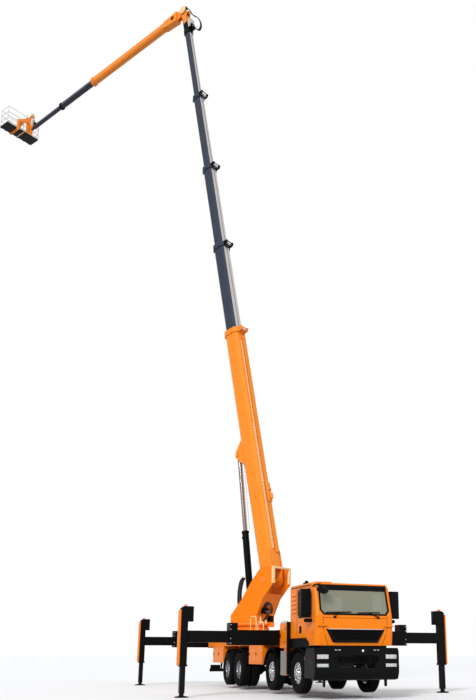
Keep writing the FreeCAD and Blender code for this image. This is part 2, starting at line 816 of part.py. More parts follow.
def wheels():
    """Eight wheels, single in front and twin behind. Local x points away from the truck."""
    tyre = tyre_solid("tyre")
    front_disc = "rim_width/2 - 8"
    front_wheel = rim_solid("front_rim", front_disc, f"{front_disc} + 44")
    twin = together("twin_tyres", [tyre, stand(together("inner_tyre", [tyre]), "-twin_pitch")])
    rear_disc = "-rim_width/2 + 18"
    start = "-twin_pitch - rim_width/2"
    band = faceted("inner_band", "x", (start, "0", "0"), "rim_radius + 1.7", "twin_pitch")
    room = faceted("inner_room", "x", (f"{start} - 10", "0", "0"), "rim_radius - rim_wall", "twin_pitch + 20")
    outer_rim = rim_solid("rear_rim", rear_disc, f"{rear_disc} + 120")
    rear_wheel = fuse("rear_rims", [outer_rim, cut("inner_rim", band, [room])])
    for axle, at in (("1", "0"), ("2", "axle2_y"), ("3", "axle3_y"), ("4", "axle4_y")):
        reach = number("rear_outer_x" if axle in "34" else "front_wheel_x")
        for side, sign in (("left", 1), ("right", -1)):
            name = f"{axle}_{side}"
            place = in_truck(sign * reach, number(at), number(AXLE_Z), 0 if sign > 0 else 180)
            sub_part(f"tyre_{name}", together(f"tyre_at_{name}", [twin if axle in "34" else tyre]), place)
            sub_part(f"wheel_{name}", together(f"wheel_at_{name}", [rear_wheel if axle in "34" else front_wheel]),
                     place)


def knuckles():
    """Steering knuckles: a forked upright on its kingpin, with the wheel's spindle."""
    for axle, at in (("1", "0"), ("2", "axle2_y")):
        for side, sign in (("left", 1), ("right", -1)):
            name = f"knuckle_{axle}_{side}"
            high = "kingpin_boss_high/2 + running_gap"
            back = "kingpin_boss_radius + 14"
            wide = "kingpin_boss_radius"
            pin = rod(name + "_pin", "z", ("0", "0", f"-({high} + knuckle_ear)"), "kingpin_radius",
                      f"2*({high} + knuckle_ear)")
            ears = []
            for k, low in enumerate((high, f"-({high} + knuckle_ear)")):
                ears.append(block(f"{name}_ear_{k}", (f"-{wide}", f"{back} + knuckle_back"),
                                  (f"-{wide}", wide), (low, f"{low} + knuckle_ear")))
            plate = block(name + "_back", (back, f"{back} + knuckle_back"), (f"-{wide}", wide),
                          (f"-({high} + knuckle_ear)", f"{high} + knuckle_ear"))
            spindle = faceted(name + "_spindle", "x", (back, "0", "0"), "spindle_radius",
                              f"front_wheel_x - kingpin_x - ({back}) + tyre_tread_width/2 + 20", "small_sides")
            place = in_truck(sign * number("kingpin_x"), number(at), number(AXLE_Z), 0 if sign > 0 else 180)
            sub_part(name, fuse(name + "_all", [pin, *ears, plate, spindle]), place)


# Outriggers

def outriggers():
    """Four corners, each with two beam stages, a jack post and a leg. Local x points outwards."""
    lane = "-(bay_wide + box_wall)/2"
    for place in ("front", "rear"):
        for side, turn in (("left", 0), ("right", 180)):
            corner = f"{place}_{side}"
            at = in_truck(0, number(f"{place}_box_y"), 0, turn)
            reach1 = f"{place}_reach1"
            reach2 = f"{place}_reach2"
            low1 = "subframe_high + box_wall + seat_gap"
            outer1 = box_corners((f"{lane} - beam1_wide/2", f"{lane} + beam1_wide/2"),
                                 (low1, f"{low1} + beam1_high"))
            inner1 = box_corners((f"{lane} - beam1_wide/2 + beam1_wall", f"{lane} + beam1_wide/2 - beam1_wall"),
                                 (f"{low1} + beam1_wall", f"{low1} + beam1_high - beam1_wall"))
            tube1 = panel(f"beam1_{corner}", "YZ", outer1, f"{reach1} - beam1_length",
                          f"{reach1} - collar_length", inner1)
            window = box_corners((f"{lane} - beam2_wide/2 - side_gap/2", f"{lane} + beam2_wide/2 + side_gap/2"),
                                 ("beam2_low - seat_gap", "beam2_low + beam2_high + side_gap/2"))
            ring = box_corners((f"{lane} - beam1_wide/2", f"{lane} + beam1_wide/2"),
                               (low1, f"{low1} + collar_high"))
            collar = panel(f"collar_{corner}", "YZ", ring, f"{reach1} - collar_length", reach1, window)
            sub_part(f"outrigger_beam_{corner}", fuse(f"stage1_{corner}", [tube1, collar]), at)

            outer2 = box_corners((f"{lane} - beam2_wide/2", f"{lane} + beam2_wide/2"),
                                 ("beam2_low", "beam2_low + beam2_high"))
            inner2 = box_corners((f"{lane} - beam2_wide/2 + beam2_wall", f"{lane} + beam2_wide/2 - beam2_wall"),
                                 ("beam2_low + beam2_wall", "beam2_low + beam2_high - beam2_wall"))
            tube2 = panel(f"beam2_{corner}", "YZ", outer2, f"{reach2} - beam2_length",
                          f"{reach2} - post_wide/2", inner2)
            post_y = (f"{lane} - post_wide/2", f"{lane} + post_wide/2")
            hollow_y = (f"{lane} - post_wide/2 + post_wall", f"{lane} + post_wide/2 - post_wall")
            post_x = (f"{reach2} - post_wide/2", f"{reach2} + post_wide/2")
            hollow_x = (f"{reach2} - post_wide/2 + post_wall", f"{reach2} + post_wide/2 - post_wall")
            post = panel(f"post_{corner}", "XY", box_corners(post_x, post_y), "post_low", "post_high",
                         box_corners(hollow_x, hollow_y))
            hole = "(leg_wide/2 + running_gap)"
            foot_ring = panel(f"post_ring_{corner}", "XY",
                              box_corners((f"{reach2} - post_wide/2 - 16", f"{reach2} + post_wide/2 + 16"),
                                          (f"{lane} - post_wide/2 - 16", f"{lane} + post_wide/2 + 16")),
                              "post_low - post_ring", "post_low + post_ring",
                              box_corners((f"{reach2} - {hole}", f"{reach2} + {hole}"),
                                          (f"{lane} - {hole}", f"{lane} + {hole}")))
            cap = panel(f"post_cap_{corner}", "XZ", [
                (f"{post_x[0]} - 34", "post_high - 230"), (f"{post_x[0]} - 46", "post_high + post_cap"),
                (f"{post_x[1]} - 70", "post_high + post_cap"), (f"{post_x[1]} + 6", "post_high + post_cap/3"),
                (f"{post_x[1]} + 6", "post_high"), (post_x[1], "post_high"), (post_x[1], "post_high - 2"),
                (post_x[0], "post_high - 2"), (post_x[0], "post_high - 230")],
                f"{post_y[0]} - 6", f"{post_y[1]} + 6")
            guard_x = f"{reach2} + post_wide/2 + guard_gap"
            guard = block(f"guard_{corner}", (guard_x, f"{guard_x} + guard_thick"),
                          (f"{lane} - guard_wide/2", f"{lane} + guard_wide/2"),
                          ("post_low + 10", "post_high - 20"))
            brackets = []
            for k in range(3):
                level = f"post_low + 160 + {k}*(post_high - post_low - 340)/2"
                brackets.append(block(f"guard_bracket_{k}_{corner}", (f"{reach2} + post_wide/2 - 2", guard_x),
                                      (f"{lane} - 60", f"{lane} + 60"), (level, f"{level} + guard_bracket")))
            whole = fuse(f"stage2_{corner}", [tube2, post, foot_ring, cap, guard, *brackets])
            sub_part(f"jack_post_{corner}", whole, at)

            leg_x = (f"{reach2} - leg_wide/2", f"{reach2} + leg_wide/2")
            leg_y = (f"{lane} - leg_wide/2", f"{lane} + leg_wide/2")
            leg = panel(f"leg_tube_{corner}", "XY", box_corners(leg_x, leg_y), "foot_thick + foot_neck",
                        "leg_high",
                        box_corners((f"{leg_x[0]} + leg_wall", f"{leg_x[1]} - leg_wall"),
                                    (f"{leg_y[0]} + leg_wall", f"{leg_y[1]} - leg_wall")))
            neck = faceted(f"neck_{corner}", "z", (reach2, lane, "foot_thick"), "leg_wide/2 - 6", "foot_neck + 6",
                           "small_sides")
            foot = faceted(f"foot_{corner}", "z", (reach2, lane, "0"), "foot_radius", "foot_thick*0.6")
            dish = faceted(f"foot_dish_{corner}", "z", (reach2, lane, "foot_thick*0.5"), "foot_radius*0.6",
                           "foot_thick*0.5")
            sub_part(f"jack_leg_{corner}", fuse(f"leg_{corner}", [leg, neck, foot, dish]), at)


# Cab

def cab_side_outline(inset):
    """The cab's side outline, drawn in by a wall's thickness."""
    return [
        (f"cab_chin + {inset}", f"cab_low + {inset}"),
        (f"cab_nose + {inset}", f"cab_low + 330"),
        (f"cab_nose + {inset}", f"cab_waist"),
        (f"cab_brow + {inset}", f"cab_roof - 95 - {inset}/2"),
        (f"cab_brow + 110 + {inset}/2", f"cab_roof - {inset}"),
        (f"cab_rear - 70", f"cab_roof - {inset}"),
        (f"cab_rear - {inset}", f"cab_roof - 70 - {inset}/2"),
        (f"cab_rear - {inset}", f"cab_low + {inset}"),
    ]


def arch_outline():
    """The wheel arch under the cab, open to below."""
    return [
        ("arch_front", "cab_low - 20"),
        ("arch_front + 40", "cab_low + 90"),
        ("arch_front + 260", "arch_floor"),
        ("cab_rear + 20", "arch_floor"),
        ("cab_rear + 20", "cab_low - 20"),
    ]


def door_outline(grow):
    """The door's outline in the side view, grown by a gap all round."""
    return [
        (f"door_front - {grow}", f"door_low - {grow}"),
        (f"arch_front - 70 + 2*{grow}", f"door_low - {grow}"),
        (f"arch_front - 20 + 2*{grow}", f"cab_low + 120 - {grow}"),
        (f"arch_front + 235 + 2*{grow}", f"door_arch - {grow}"),
        (f"door_rear + {grow}", f"door_arch - {grow}"),
        (f"door_rear + {grow}", f"door_high + {grow}"),
        (f"door_front + 80", f"door_high + {grow}"),
        (f"door_front - {grow}", f"door_high - 200"),
    ]


def window_outline():
    return [
        ("window_front", "window_low"),
        ("window_rear - 60", "window_low"),
        ("window_rear", "window_low + 70"),
        ("window_rear", "window_high"),
        ("window_front + 90", "window_high"),
        ("window_front", "window_high - 190"),
    ]


def screen_outline():
    low = "screen_low"
    return [
        ("-screen_low_half + 90", low),
        ("screen_low_half - 90", low),
        ("screen_low_half", f"{low} + 110"),
        ("screen_high_half", "screen_high"),
        ("-screen_high_half", "screen_high"),
        ("-screen_low_half", f"{low} + 110"),
    ]


def cab():
    """Hollow cab shell with windows and door openings, its glass, trim and doors."""
    skin = panel("cab_skin", "YZ", cab_side_outline("0"), "-cab_half", "cab_half")

    def upright_front(start, end):
        upright = abs(start.x - end.x) < 1 and abs(start.z - end.z) > 50
        return upright and min(start.y, end.y) < number("cab_brow") + 1

    soft_skin = rounded("cab_soft_skin", skin, "cab_corner", upright_front)
    room = panel("cab_room", "YZ", cab_side_outline("cab_wall"), "-cab_half + cab_wall",
                 "cab_half - cab_wall")
    arch = panel("cab_arch", "YZ", arch_outline(), "-cab_half - 10", "cab_half + 10")
    raised = [(u, v.replace("arch_floor", "arch_floor + cab_wall")) for u, v in arch_outline()]
    raised = [(u.replace("arch_front", "arch_front - cab_wall"), v) for u, v in raised]
    hump = panel("cab_hump", "YZ", raised, "-cab_half", "cab_half")
    hollow = cut("cab_hollow", room, [hump])
    screen = panel("cab_screen_hole", "XZ", screen_outline(), "cab_nose - 60", "cab_brow + 190")
    rear_hole = block("cab_rear_hole", ("-480", "480"), ("cab_rear - cab_wall - 20", "cab_rear + 20"),
                      ("screen_low + 200", "screen_high - 180"))
    door_hole = panel("cab_door_hole", "YZ", door_outline("panel_gap"), "cab_half - cab_wall - 30",
                      "cab_half + 30")
    grille_hole = panel("cab_grille_hole", "XZ", grille_outline("0"), "cab_nose - 60", "cab_nose + 40")
    hatch = block("roof_hatch", ("-970", "-510"), ("cab_brow + 230", "cab_brow + 760"),
                  ("cab_roof - 10", "cab_roof + hatch_high"))
    soft_skin = fuse("cab_outside", [soft_skin, hatch])
    shell = cut("cab_open", soft_skin, [hollow, arch, screen, rear_hole, grille_hole, *both_sides(door_hole)])
    sub_part("cab_shell", shell, in_truck())

    front_pane = panel("front_slab", "YZ", [
        ("cab_nose + 14", "cab_waist"),
        ("cab_brow + 14", "cab_roof - 95"),
        ("cab_brow + 14 + glass_thick", "cab_roof - 95"),
        ("cab_nose + 14 + glass_thick", "cab_waist"),
    ], "-cab_half", "cab_half")
    pane_hole = panel("front_pane_outline", "XZ", screen_outline(), "cab_nose - 60", "cab_brow + 190")
    pane = doc.addObject("Part::Common", "front_pane")
    pane.Base = front_pane
    pane.Tool = pane_hole
    rear_pane = block("rear_pane", ("-480", "480"), ("cab_rear - 30", "cab_rear - 30 + glass_thick"),
                      ("screen_low + 200", "screen_high - 180"))
    sub_part("cab_glass", together("cab_panes", [pane, rear_pane]), in_truck())

    for side in ("left", "right"):
        skin = panel(f"door_skin_{side}", "YZ", door_outline("0"), "cab_half - cab_wall", "cab_half")
        hole = panel(f"door_window_{side}", "YZ", window_outline(), "cab_half - cab_wall - 10",
                     "cab_half + 10")
        leaf = cut(f"door_leaf_{side}", skin, [hole])
        near_x, far_x = "mirror_x - mirror_wide/2", "mirror_x + mirror_wide/2"
        soft = "mirror_wide*0.16"
        head = panel(f"mirror_{side}", "XZ", [
            (f"{near_x} + {soft}", "mirror_low"), (f"{far_x} - {soft}", "mirror_low"),
            (far_x, f"mirror_low + {soft}"), (far_x, f"mirror_high - {soft}"), (f"{far_x} - {soft}", "mirror_high"),
            (f"{near_x} + {soft}", "mirror_high"), (near_x, f"mirror_high - {soft}"),
            (near_x, f"mirror_low + {soft}")], "mirror_y", "mirror_y + mirror_deep")
        arms = []
        for k, level in enumerate(("mirror_low + 30", "mirror_high - 60")):
            arms.append(faceted(f"mirror_arm_{k}_{side}", "x", ("cab_half - 20", "mirror_y + mirror_deep/2", level),
                                "arm_radius", "mirror_x - cab_half + 20", "rail_sides"))
        for k, level in enumerate(("door_low + 300",)):
            arms.append(rod(f"hinge_barrel_{k}_{side}", "z", ("hinge_x", "door_front - hinge_ahead", level),
                            "hinge_radius", "hinge_high"))
            arms.append(block(f"hinge_leaf_{k}_{side}", ("cab_half - 12", "hinge_x"),
                              ("door_front - hinge_ahead + 4", "door_front + 60"), (level, f"{level} + hinge_high")))
        door = fuse(f"door_all_{side}", [leaf, head, *arms])
        if side == "right":
            door = mirrored(door, "door_all_other")
        sub_part(f"door_{side}", door, in_truck())

    inside_floor = "arch_floor + cab_wall"
    seats = []
    for k, sign in enumerate("-+"):
        centre = f"{sign}520"
        base = block(f"seat_base_{k}", (f"{centre} - 200", f"{centre} + 200"), ("-420", "-20"),
                     (inside_floor, f"{inside_floor} + 260"))
        cushion = block(f"seat_cushion_{k}", (f"{centre} - 250", f"{centre} + 250"), ("-500", "20"),
                        (f"{inside_floor} + 260", f"{inside_floor} + 380"))
        back = block(f"seat_back_{k}", (f"{centre} - 240", f"{centre} + 240"), ("0", "130"),
                     (f"{inside_floor} + 300", f"{inside_floor} + 1050"))
        seats.append(fuse(f"seat_{k}", [base, cushion, back]))
    dash = block("dash", ("-cab_half + cab_wall", "cab_half - cab_wall"),
                 ("cab_nose + cab_wall + 6", "cab_nose + cab_wall + 330"),
                 (f"{inside_floor} + 120", "screen_low - 30"))
    seats.append(dash)
    wheel_y = "cab_nose + cab_wall + 430"
    wheel_z = "screen_low - 60"
    column = faceted("steering_column", "y", ("520", "cab_nose + cab_wall + 300", wheel_z), "30", "150",
                     "rail_sides")
    ring = cut("steering_ring", faceted("steering_rim", "y", ("520", wheel_y, wheel_z), "240", "30", "small_sides"),
               [faceted("steering_room", "y", ("520", f"{wheel_y} - 10", wheel_z), "206", "50", "small_sides")])
    spoke = block("steering_spoke", ("520 - 215", "520 + 215"), (f"{wheel_y} + 4", f"{wheel_y} + 22"),
                  (f"{wheel_z} - 20", f"{wheel_z} + 20"))
    seats.append(fuse("steering", [column, ring, spoke]))
    sub_part("cab_interior", together("interior", seats), in_truck())



def front_end():
    """Bumper with lamp recesses, steps and tow hook, and the grille in the cab's nose."""
    wall = "bumper_wall"
    front = "bumper_front"
    corners = [
        (f"{front} + 245", "bumper_low"),
        (f"{front} + 75", "bumper_low + 30"),
        (front, "bumper_low + 210"),
        (front, "bumper_high - 95"),
        (f"{front} + 55", "bumper_high"),
        (f"{front} + 175", "bumper_high"),
        (f"{front} + 175", f"bumper_high - {wall}"),
        (f"{front} + 55 + {wall}/2", f"bumper_high - {wall}"),
        (f"{front} + {wall}", "bumper_high - 95"),
        (f"{front} + {wall}", "bumper_low + 225"),
        (f"{front} + 75 + {wall}/2", f"bumper_low + 30 + {wall}"),
        (f"{front} + 245", f"bumper_low + {wall}"),
    ]
    beam = panel("bumper_beam", "YZ", corners, "-bumper_half", "bumper_half")
    side = panel("bumper_side", "YZ", [
        (f"{front} + 60", "bumper_low + 60"),
        (f"{front} + 30", "bumper_high - 100"),
        (f"{front} + 70", "bumper_high - 6"),
        ("bumper_side_end - 120", "bumper_high - 6"),
        ("bumper_side_end", "bumper_high - 260"),
        ("bumper_side_end", "bumper_low + 60"),
    ], "bumper_half - 46", "bumper_half")
    steps = []
    for k, level in enumerate(("step_low", "step_high")):
        steps.append(block(f"step_{k}", ("bumper_half - 210", "bumper_half - 20"),
                           ("bumper_side_end - 230", "bumper_side_end - 10"), (f"{level} - 20", f"{level} + 14")))
    hanger = block("bumper_hanger", ("rail_outer_x - rail_flange", "rail_outer_x - 4"),
                   (f"{front} + {wall} - 4", "frame_front"), ("rail_low + 30", "rail_high - 30"))
    lamps = []
    for place in ("lamp", "slim_lamp"):
        lamps.append(block(f"{place}_recess", ("lamp_outer - lamp_wide", "lamp_outer"),
                           (f"{front} - 10", f"{front} + lamp_deep"), (f"{place}_low", f"{place}_low + {place}_high")))
    mouth = block("mouth", ("-600", "600"), (f"{front} - 10", f"{front} + {wall} + 10"),
                  ("960", "1130"))
    lower_mouth = block("lower_mouth", ("-520", "520"), (f"{front} - 10", f"{front} + {wall} + 10"),
                        ("815", "930"))
    solid = fuse("bumper_solid", [beam, *both_sides(fuse("bumper_end", [side, *steps, hanger]))])
    open_bumper = cut("bumper_open", solid, [mouth, lower_mouth, *both_sides(fuse("lamp_recesses", lamps))])
    eye = panel("tow_eye", "YZ", [
        (f"{front} + 110", "bumper_low + 90"), (f"{front} + 230", "bumper_low + 90"),
        (f"{front} + 220", "bumper_low - 130"), (f"{front} + 190", "bumper_low - 165"),
        (f"{front} + 150", "bumper_low - 165"), (f"{front} + 120", "bumper_low - 130")],
        "tow_eye_x - 18", "tow_eye_x + 18")
    eye_hole = rod("tow_eye_hole", "x", ("tow_eye_x - 30", f"{front} + 170", "bumper_low - 100"), "tow_eye_radius", "60")
    open_bumper = fuse("bumper_with_eyes", [open_bumper, *both_sides(cut("tow_eye_open", eye, [eye_hole]))])
    bars = []
    for k, level in enumerate(("996", "1045", "1094", "872")):
        bars.append(block(f"mouth_bar_{k}", ("-605", "605"), (f"{front} + 22", f"{front} + {wall} - 4"),
                          (f"{level} - 9", f"{level} + 9")))
    sub_part("front_bumper", fuse("bumper", [open_bumper, *bars]), in_truck())

    face = "cab_nose + 40"
    grille = panel("grille_plate", "XZ", grille_outline("seat_gap"), f"{face} - grille_deep - 20", f"{face} - seat_gap")
    slots = []
    for k in range(4):
        level = f"grille_low + 52 + {k}*66"
        half = f"grille_low_half - 40 + (grille_half - grille_low_half)*{k}/4"
        slots.append(block(f"grille_slot_{k}", (f"-({half})", half), (f"{face} - grille_deep - 30", f"{face} - 26"),
                           (level, f"{level} + 66 - grille_rib")))
    sub_part("front_grille", cut("grille", grille, slots), in_truck())


def grille_outline(inset):
    """The grille's trapezium, drawn in by a gap."""
    return [
        (f"-grille_low_half + {inset}", f"grille_low + {inset}"),
        (f"grille_low_half - {inset}", f"grille_low + {inset}"),
        (f"grille_half - {inset}", f"grille_high - {inset}"),
        (f"-grille_half + {inset}", f"grille_high - {inset}"),
    ]


def mudguards():
    """A round guard over each wheel behind the cab, and the arch lining under it."""
    pieces = []
    for axle, at, radius in (("1", "0", "guard_radius"), ("2", "axle2_y", "guard_radius"),
                             ("3", "axle3_y", "guard_radius - 30"), ("4", "axle4_y", "guard_radius - 30")):
        inner = "guard_inner_x" if axle in "12" else "guard_inner_x - 250"
        wide = f"guard_outer_x - ({inner})"
        outside = faceted(f"guard_outside_{axle}", "x", (inner, at, AXLE_Z), f"{radius} + guard_band", wide)
        inside = faceted(f"guard_inside_{axle}", "x", (f"{inner} - 10", at, AXLE_Z), radius, f"{wide} + 20")
        low = "guard_first_open" if axle == "1" else "guard_open"
        below = block(f"guard_below_{axle}", (f"{inner} - 20", "guard_outer_x + 20"), (f"{at} - 900", f"{at} + 900"),
                      ("-200", f"{AXLE_Z} + {low}"))
        band = cut(f"guard_band_{axle}", outside, [inside, below])
        if axle == "1":
            lining = panel("arch_lining", "YZ", [
                ("arch_front + 10", f"{AXLE_Z} + {radius} + 2"),
                ("arch_front + 44", "cab_low + 90"),
                ("arch_front + 262", "arch_floor - seat_gap"),
                ("cab_rear", "arch_floor - seat_gap"),
                ("cab_rear", f"{AXLE_Z} + {radius} + 2"),
            ], "cab_half - cab_wall", "cab_half - 2")
            whole = fuse("arch_guard", [band, lining])
        else:
            post = block(f"guard_post_{axle}", ("guard_outer_x - 20", "guard_outer_x"),
                         (f"{at} - 30", f"{at} + 30"), (f"{AXLE_Z} + {radius} + 2", "skirt_low - seat_gap"))
            whole = fuse(f"guard_{axle}", [band, post])
        pieces += both_sides(whole)
    sub_part("mudguards", together("guards", pieces), in_truck())


def valve_cabinet():
    """Upright cabinet behind the cab on the right, over a heat shield, on one bracket."""
    outer = "-cabinet_x"
    inner = "-cabinet_x + cabinet_deep"
    box = block("cabinet", (outer, inner), ("cabinet_front", "cabinet_end"), ("cabinet_low", "cabinet_high"))
    door = block("cabinet_door", (f"{outer} - 10", outer), ("cabinet_front + 30", "cabinet_end - 30"),
                 ("cabinet_low + 30", "cabinet_high - 60"))
    shield = block("shield", (f"{outer} + 20", inner), ("cabinet_front + 30", "cabinet_end - 20"),
                   ("shield_low", "shield_high"))
    bracket = block("cabinet_bracket", (f"{outer} + 10", "-rail_outer_x - seat_gap"),
                    ("subframe_front - 70", "subframe_front + 24"), ("shield_high", "cabinet_low"))
    sub_part("valve_cabinet", fuse("cabinet_all", [box, door, shield, bracket]), in_truck())


# Turret

def turret():
    """Slewing ring, base plate, two raking side plates and the pins they carry."""
    across = Vector(0, 1, 0)
    plate = panel("turret_side", "XZ", [
        ("-620", "turret_low"), ("630", "turret_low"), ("640", "turret_low + 390"), ("130", "3130"),
        ("-420", "3880"), ("-830", "4320"), ("-1380", "4320"), ("-1410", "3700"), ("-920", "3170"),
        ("-640", "turret_low + 390"),
    ], "turret_half - turret_plate", "turret_half")
    reach = "boom_pin_r"
    gap = "base_wide/2 + side_gap"
    boss = faceted("boom_pin_boss", "y", (reach, gap, "boom_pin_z"), "boom_pin_radius + 66",
                   f"turret_half - turret_plate - ({gap}) + 4", "small_sides")
    cap = faceted("boom_pin_cap", "y", (reach, "turret_half - 4", "boom_pin_z"), "boom_pin_radius + 30", "18",
                  "small_sides")
    gussets = []
    for k, at in enumerate(("-300", "0", "300")):
        gussets.append(panel(f"gusset_{k}", "XZ", [
            ("-600", "turret_low + base_plate - 4"), ("-735", "turret_low + base_plate - 4"),
            ("-650", "turret_low + 330"), ("-600", "turret_low + 330")], f"{at} - 12", f"{at} + 12"))
    lug_low = "turret_low + base_plate - 4"
    lug = panel("luff_lug", "XZ", [
        ("luff_pin_r - 330", lug_low), ("luff_pin_r + 330", lug_low),
        ("luff_pin_r + 90", "luff_pin_z + 60"), ("luff_pin_r + 40", "luff_pin_z + 95"),
        ("luff_pin_r - 40", "luff_pin_z + 95"), ("luff_pin_r - 90", "luff_pin_z + 60"),
    ], "barrel_eye_half + side_gap", "barrel_eye_half + side_gap + luff_ear")
    pieces = []
    for item in (plate, boss, cap, lug):
        pieces += both_sides(item, across)
    pieces += gussets
    pieces.append(faceted("turret_disc", "z", ("0", "0", "turret_low"), "slew_ring_radius + 130", "base_plate"))
    pieces.append(rod("slew_ring", "z", ("0", "0", "pedestal_high + seat_gap"), "slew_ring_radius",
                      "turret_low - pedestal_high - seat_gap + 4"))
    pieces.append(rod("boom_pin", "y", (reach, "-turret_half", "boom_pin_z"), "boom_pin_radius", "2*turret_half"))
    pieces.append(rod("luff_pin", "y", ("luff_pin_r", "-barrel_eye_half - 40", "luff_pin_z"), "luff_pin_radius",
                      "2*barrel_eye_half + 80"))
    inside = "turret_half - turret_plate + 4"
    front = panel("turret_front", "XZ", [
        ("-620", "turret_low + 20"), ("-640", "turret_low + 390"), ("-920", "3170"), ("-1060", "3320"),
        ("-1030", "3345"), ("-890", "3190"), ("-606", "turret_low + 380"), ("-585", "turret_low + 20"),
    ], f"-({inside})", inside)
    floor = panel("turret_web", "XZ", [
        ("-1060", "3320"), ("-1030", "3345"), ("-560", "3120"), ("-300", "turret_low + 40"),
        ("-340", "turret_low + 40"), ("-590", "3095"),
    ], f"-({inside})", inside)
    rim_x = ("-1425", "-1355")
    pieces += [front, floor]
    pieces.append(block("rim_top", rim_x, (f"-({inside})", inside), ("4262", "4320")))
    post = block("rim_side", rim_x, ("turret_half - 110", "turret_half"), ("3700", "4320"))
    pieces += both_sides(post, across)
    drive = faceted("slew_drive", "z", ("-760", "-160", "turret_low + 100"), "105", "330", "small_sides")
    gear = faceted("slew_gear", "z", ("-760", "-160", "turret_low - 60"), "135", "180", "small_sides")
    foot = block("slew_drive_foot", ("-780", "-600"), ("-200", "-120"), ("turret_low + 20", "turret_low + 300"))
    valves = block("valve_block", ("-870", "-700"), ("120", "330"), ("turret_low + 420", "turret_low + 640"))
    valve_foot = block("valve_foot", ("-760", "-650"), ("170", "280"), ("turret_low + 460", "turret_low + 560"))
    pieces += [drive, gear, foot, valves, valve_foot]
    sub_part("turret", fuse("turret_all", pieces), in_turret())


def luff_cylinder():
    """The cylinder that raises the boom. Local x runs from its foot pin to its rod's eye."""
    foot = Vector(number("luff_pin_r"), 0, number("luff_pin_z"))
    tilt = math.radians(number("boom_angle"))
    along = Vector(math.cos(tilt), 0, math.sin(tilt))
    upward = Vector(-math.sin(tilt), 0, math.cos(tilt))
    pin = Vector(number("boom_pin_r"), 0, number("boom_pin_z"))
    top = pin + along * number("luff_top_s") - upward * number("luff_top_drop")
    span = top - foot
    angle = math.degrees(math.atan2(span.z, span.x))
    place = in_turret().multiply(Placement(foot, Rotation(Vector(0, 1, 0), -angle)))

    eye = rod("barrel_eye", "y", ("0", "-barrel_eye_half", "0"), "luff_pin_radius + 52", "2*barrel_eye_half")
    neck = block("barrel_neck", ("40", "250"), ("-barrel_eye_half", "barrel_eye_half"), ("-86", "86"))
    body = faceted("barrel_body", "x", ("230", "0", "0"), "barrel_radius", "barrel_length - 230")
    gland = faceted("barrel_gland", "x", ("barrel_length - 90", "0", "0"), "barrel_radius + 14", "90")
    bore = rod("barrel_bore", "y", ("0", "-200", "0"), "luff_pin_radius + running_gap", "400")
    channel = rod("barrel_channel", "x", ("280", "0", "0"), "rod_radius + running_gap", "barrel_length")
    sub_part("luff_barrel", cut("barrel_all", fuse("barrel_solid", [eye, neck, body, gland]), [bore, channel]),
             place)

    far = span.Length
    sheet.set("D1", str(far))
    sheet.setAlias("D1", "luff_span")
    SIZES["luff_span"] = far
    stem = rod("luff_rod_stem", "x", ("rod_start", "0", "0"), "rod_radius", "luff_span - rod_start - 80")
    top_eye = rod("luff_rod_eye", "y", ("luff_span", "-rod_eye_half", "0"), "rod_radius + 20", "2*rod_eye_half")
    top_neck = block("luff_rod_neck", ("luff_span - 140", "luff_span"), ("-rod_eye_half", "rod_eye_half"),
                     ("-70", "70"))
    sub_part("luff_rod", fuse("rod_all", [stem, top_eye, top_neck]), place)


# Boom

def hull(wide, deep, inset="0", slot=False):
    """Boom section in y and z: bevelled top corners and a keel-shaped underside. A slot leaves room
    above it for the next section's cable tray."""
    half = f"({wide})/2 - ({inset})"
    rise = f"({deep})/2 - ({inset})"
    top = [(f"({half})*(1 - hull_bevel)", rise), (f"-({half})*(1 - hull_bevel)", rise)]
    if slot:
        tray_side = f"-({half})*(1 - hull_bevel) + tray_margin - side_gap"
        top[1:1] = [
            ("-tray_margin + side_gap", rise),
            ("-tray_margin + side_gap", f"{rise} + tray_high + side_gap"),
            (tray_side, f"{rise} + tray_high + side_gap"),
            (tray_side, rise),
        ]
    return [
        *top,
        (f"-({half})", f"({rise}) - ({half})*hull_bevel"),
        (f"-({half})", f"-({rise})*hull_keel"),
        (f"-({half})*hull_keel", f"-({rise})"),
        (f"({half})*hull_keel", f"-({rise})"),
        (half, f"-({rise})*hull_keel"),
        (half, f"({rise}) - ({half})*hull_bevel"),
    ]


def cable_tray(name, wide, deep, start, end):
    """Shallow tray along one half of a section's top."""
    return block(name, (start, end), (f"-({wide})/2*(1 - hull_bevel) + tray_margin", "-tray_margin"),
                 (f"({deep})/2", f"({deep})/2 + tray_high"))


def roller_ears(name, wide, deep, end):
    """Two upright ears with a guide roller on a collar's top."""
    ears = []
    for k, at in enumerate(("tray_margin", "roller_pitch + tray_margin")):
        ears.append(panel(f"{name}_ear_{k}", "XZ", [
            (f"{end} - section_collar + 20", f"({deep})/2 + section_collar_wall - 4"),
            (f"{end} - 20", f"({deep})/2 + section_collar_wall - 4"),
            (f"{end} - 50", f"({deep})/2 + roller_high + 40"),
            (f"{end} - 120", f"({deep})/2 + roller_high + 40")], at, f"{at} + 14"))
    wheel = faceted(f"{name}_roller", "y", (f"{end} - 90", "tray_margin + 10", f"({deep})/2 + roller_high"),
                    "roller_radius", "roller_pitch - 6", "small_sides")
    return [*ears, wheel]


def tube(name, wide, deep, wall, start, end):
    return panel(name, "YZ", hull(wide, deep), start, end, hull(wide, deep, wall))


def end_collar(name, wide, deep, grow, inner_wide, inner_deep, start, end, slot=True):
    """Collar at a section's mouth, in which the next section slides."""
    return panel(name, "YZ", hull(f"{wide} + 2*{grow}", f"{deep} + 2*{grow}"), start, end,
                 hull(f"{inner_wide} + 2*seat_gap", f"{inner_deep} + 2*seat_gap", slot=slot))


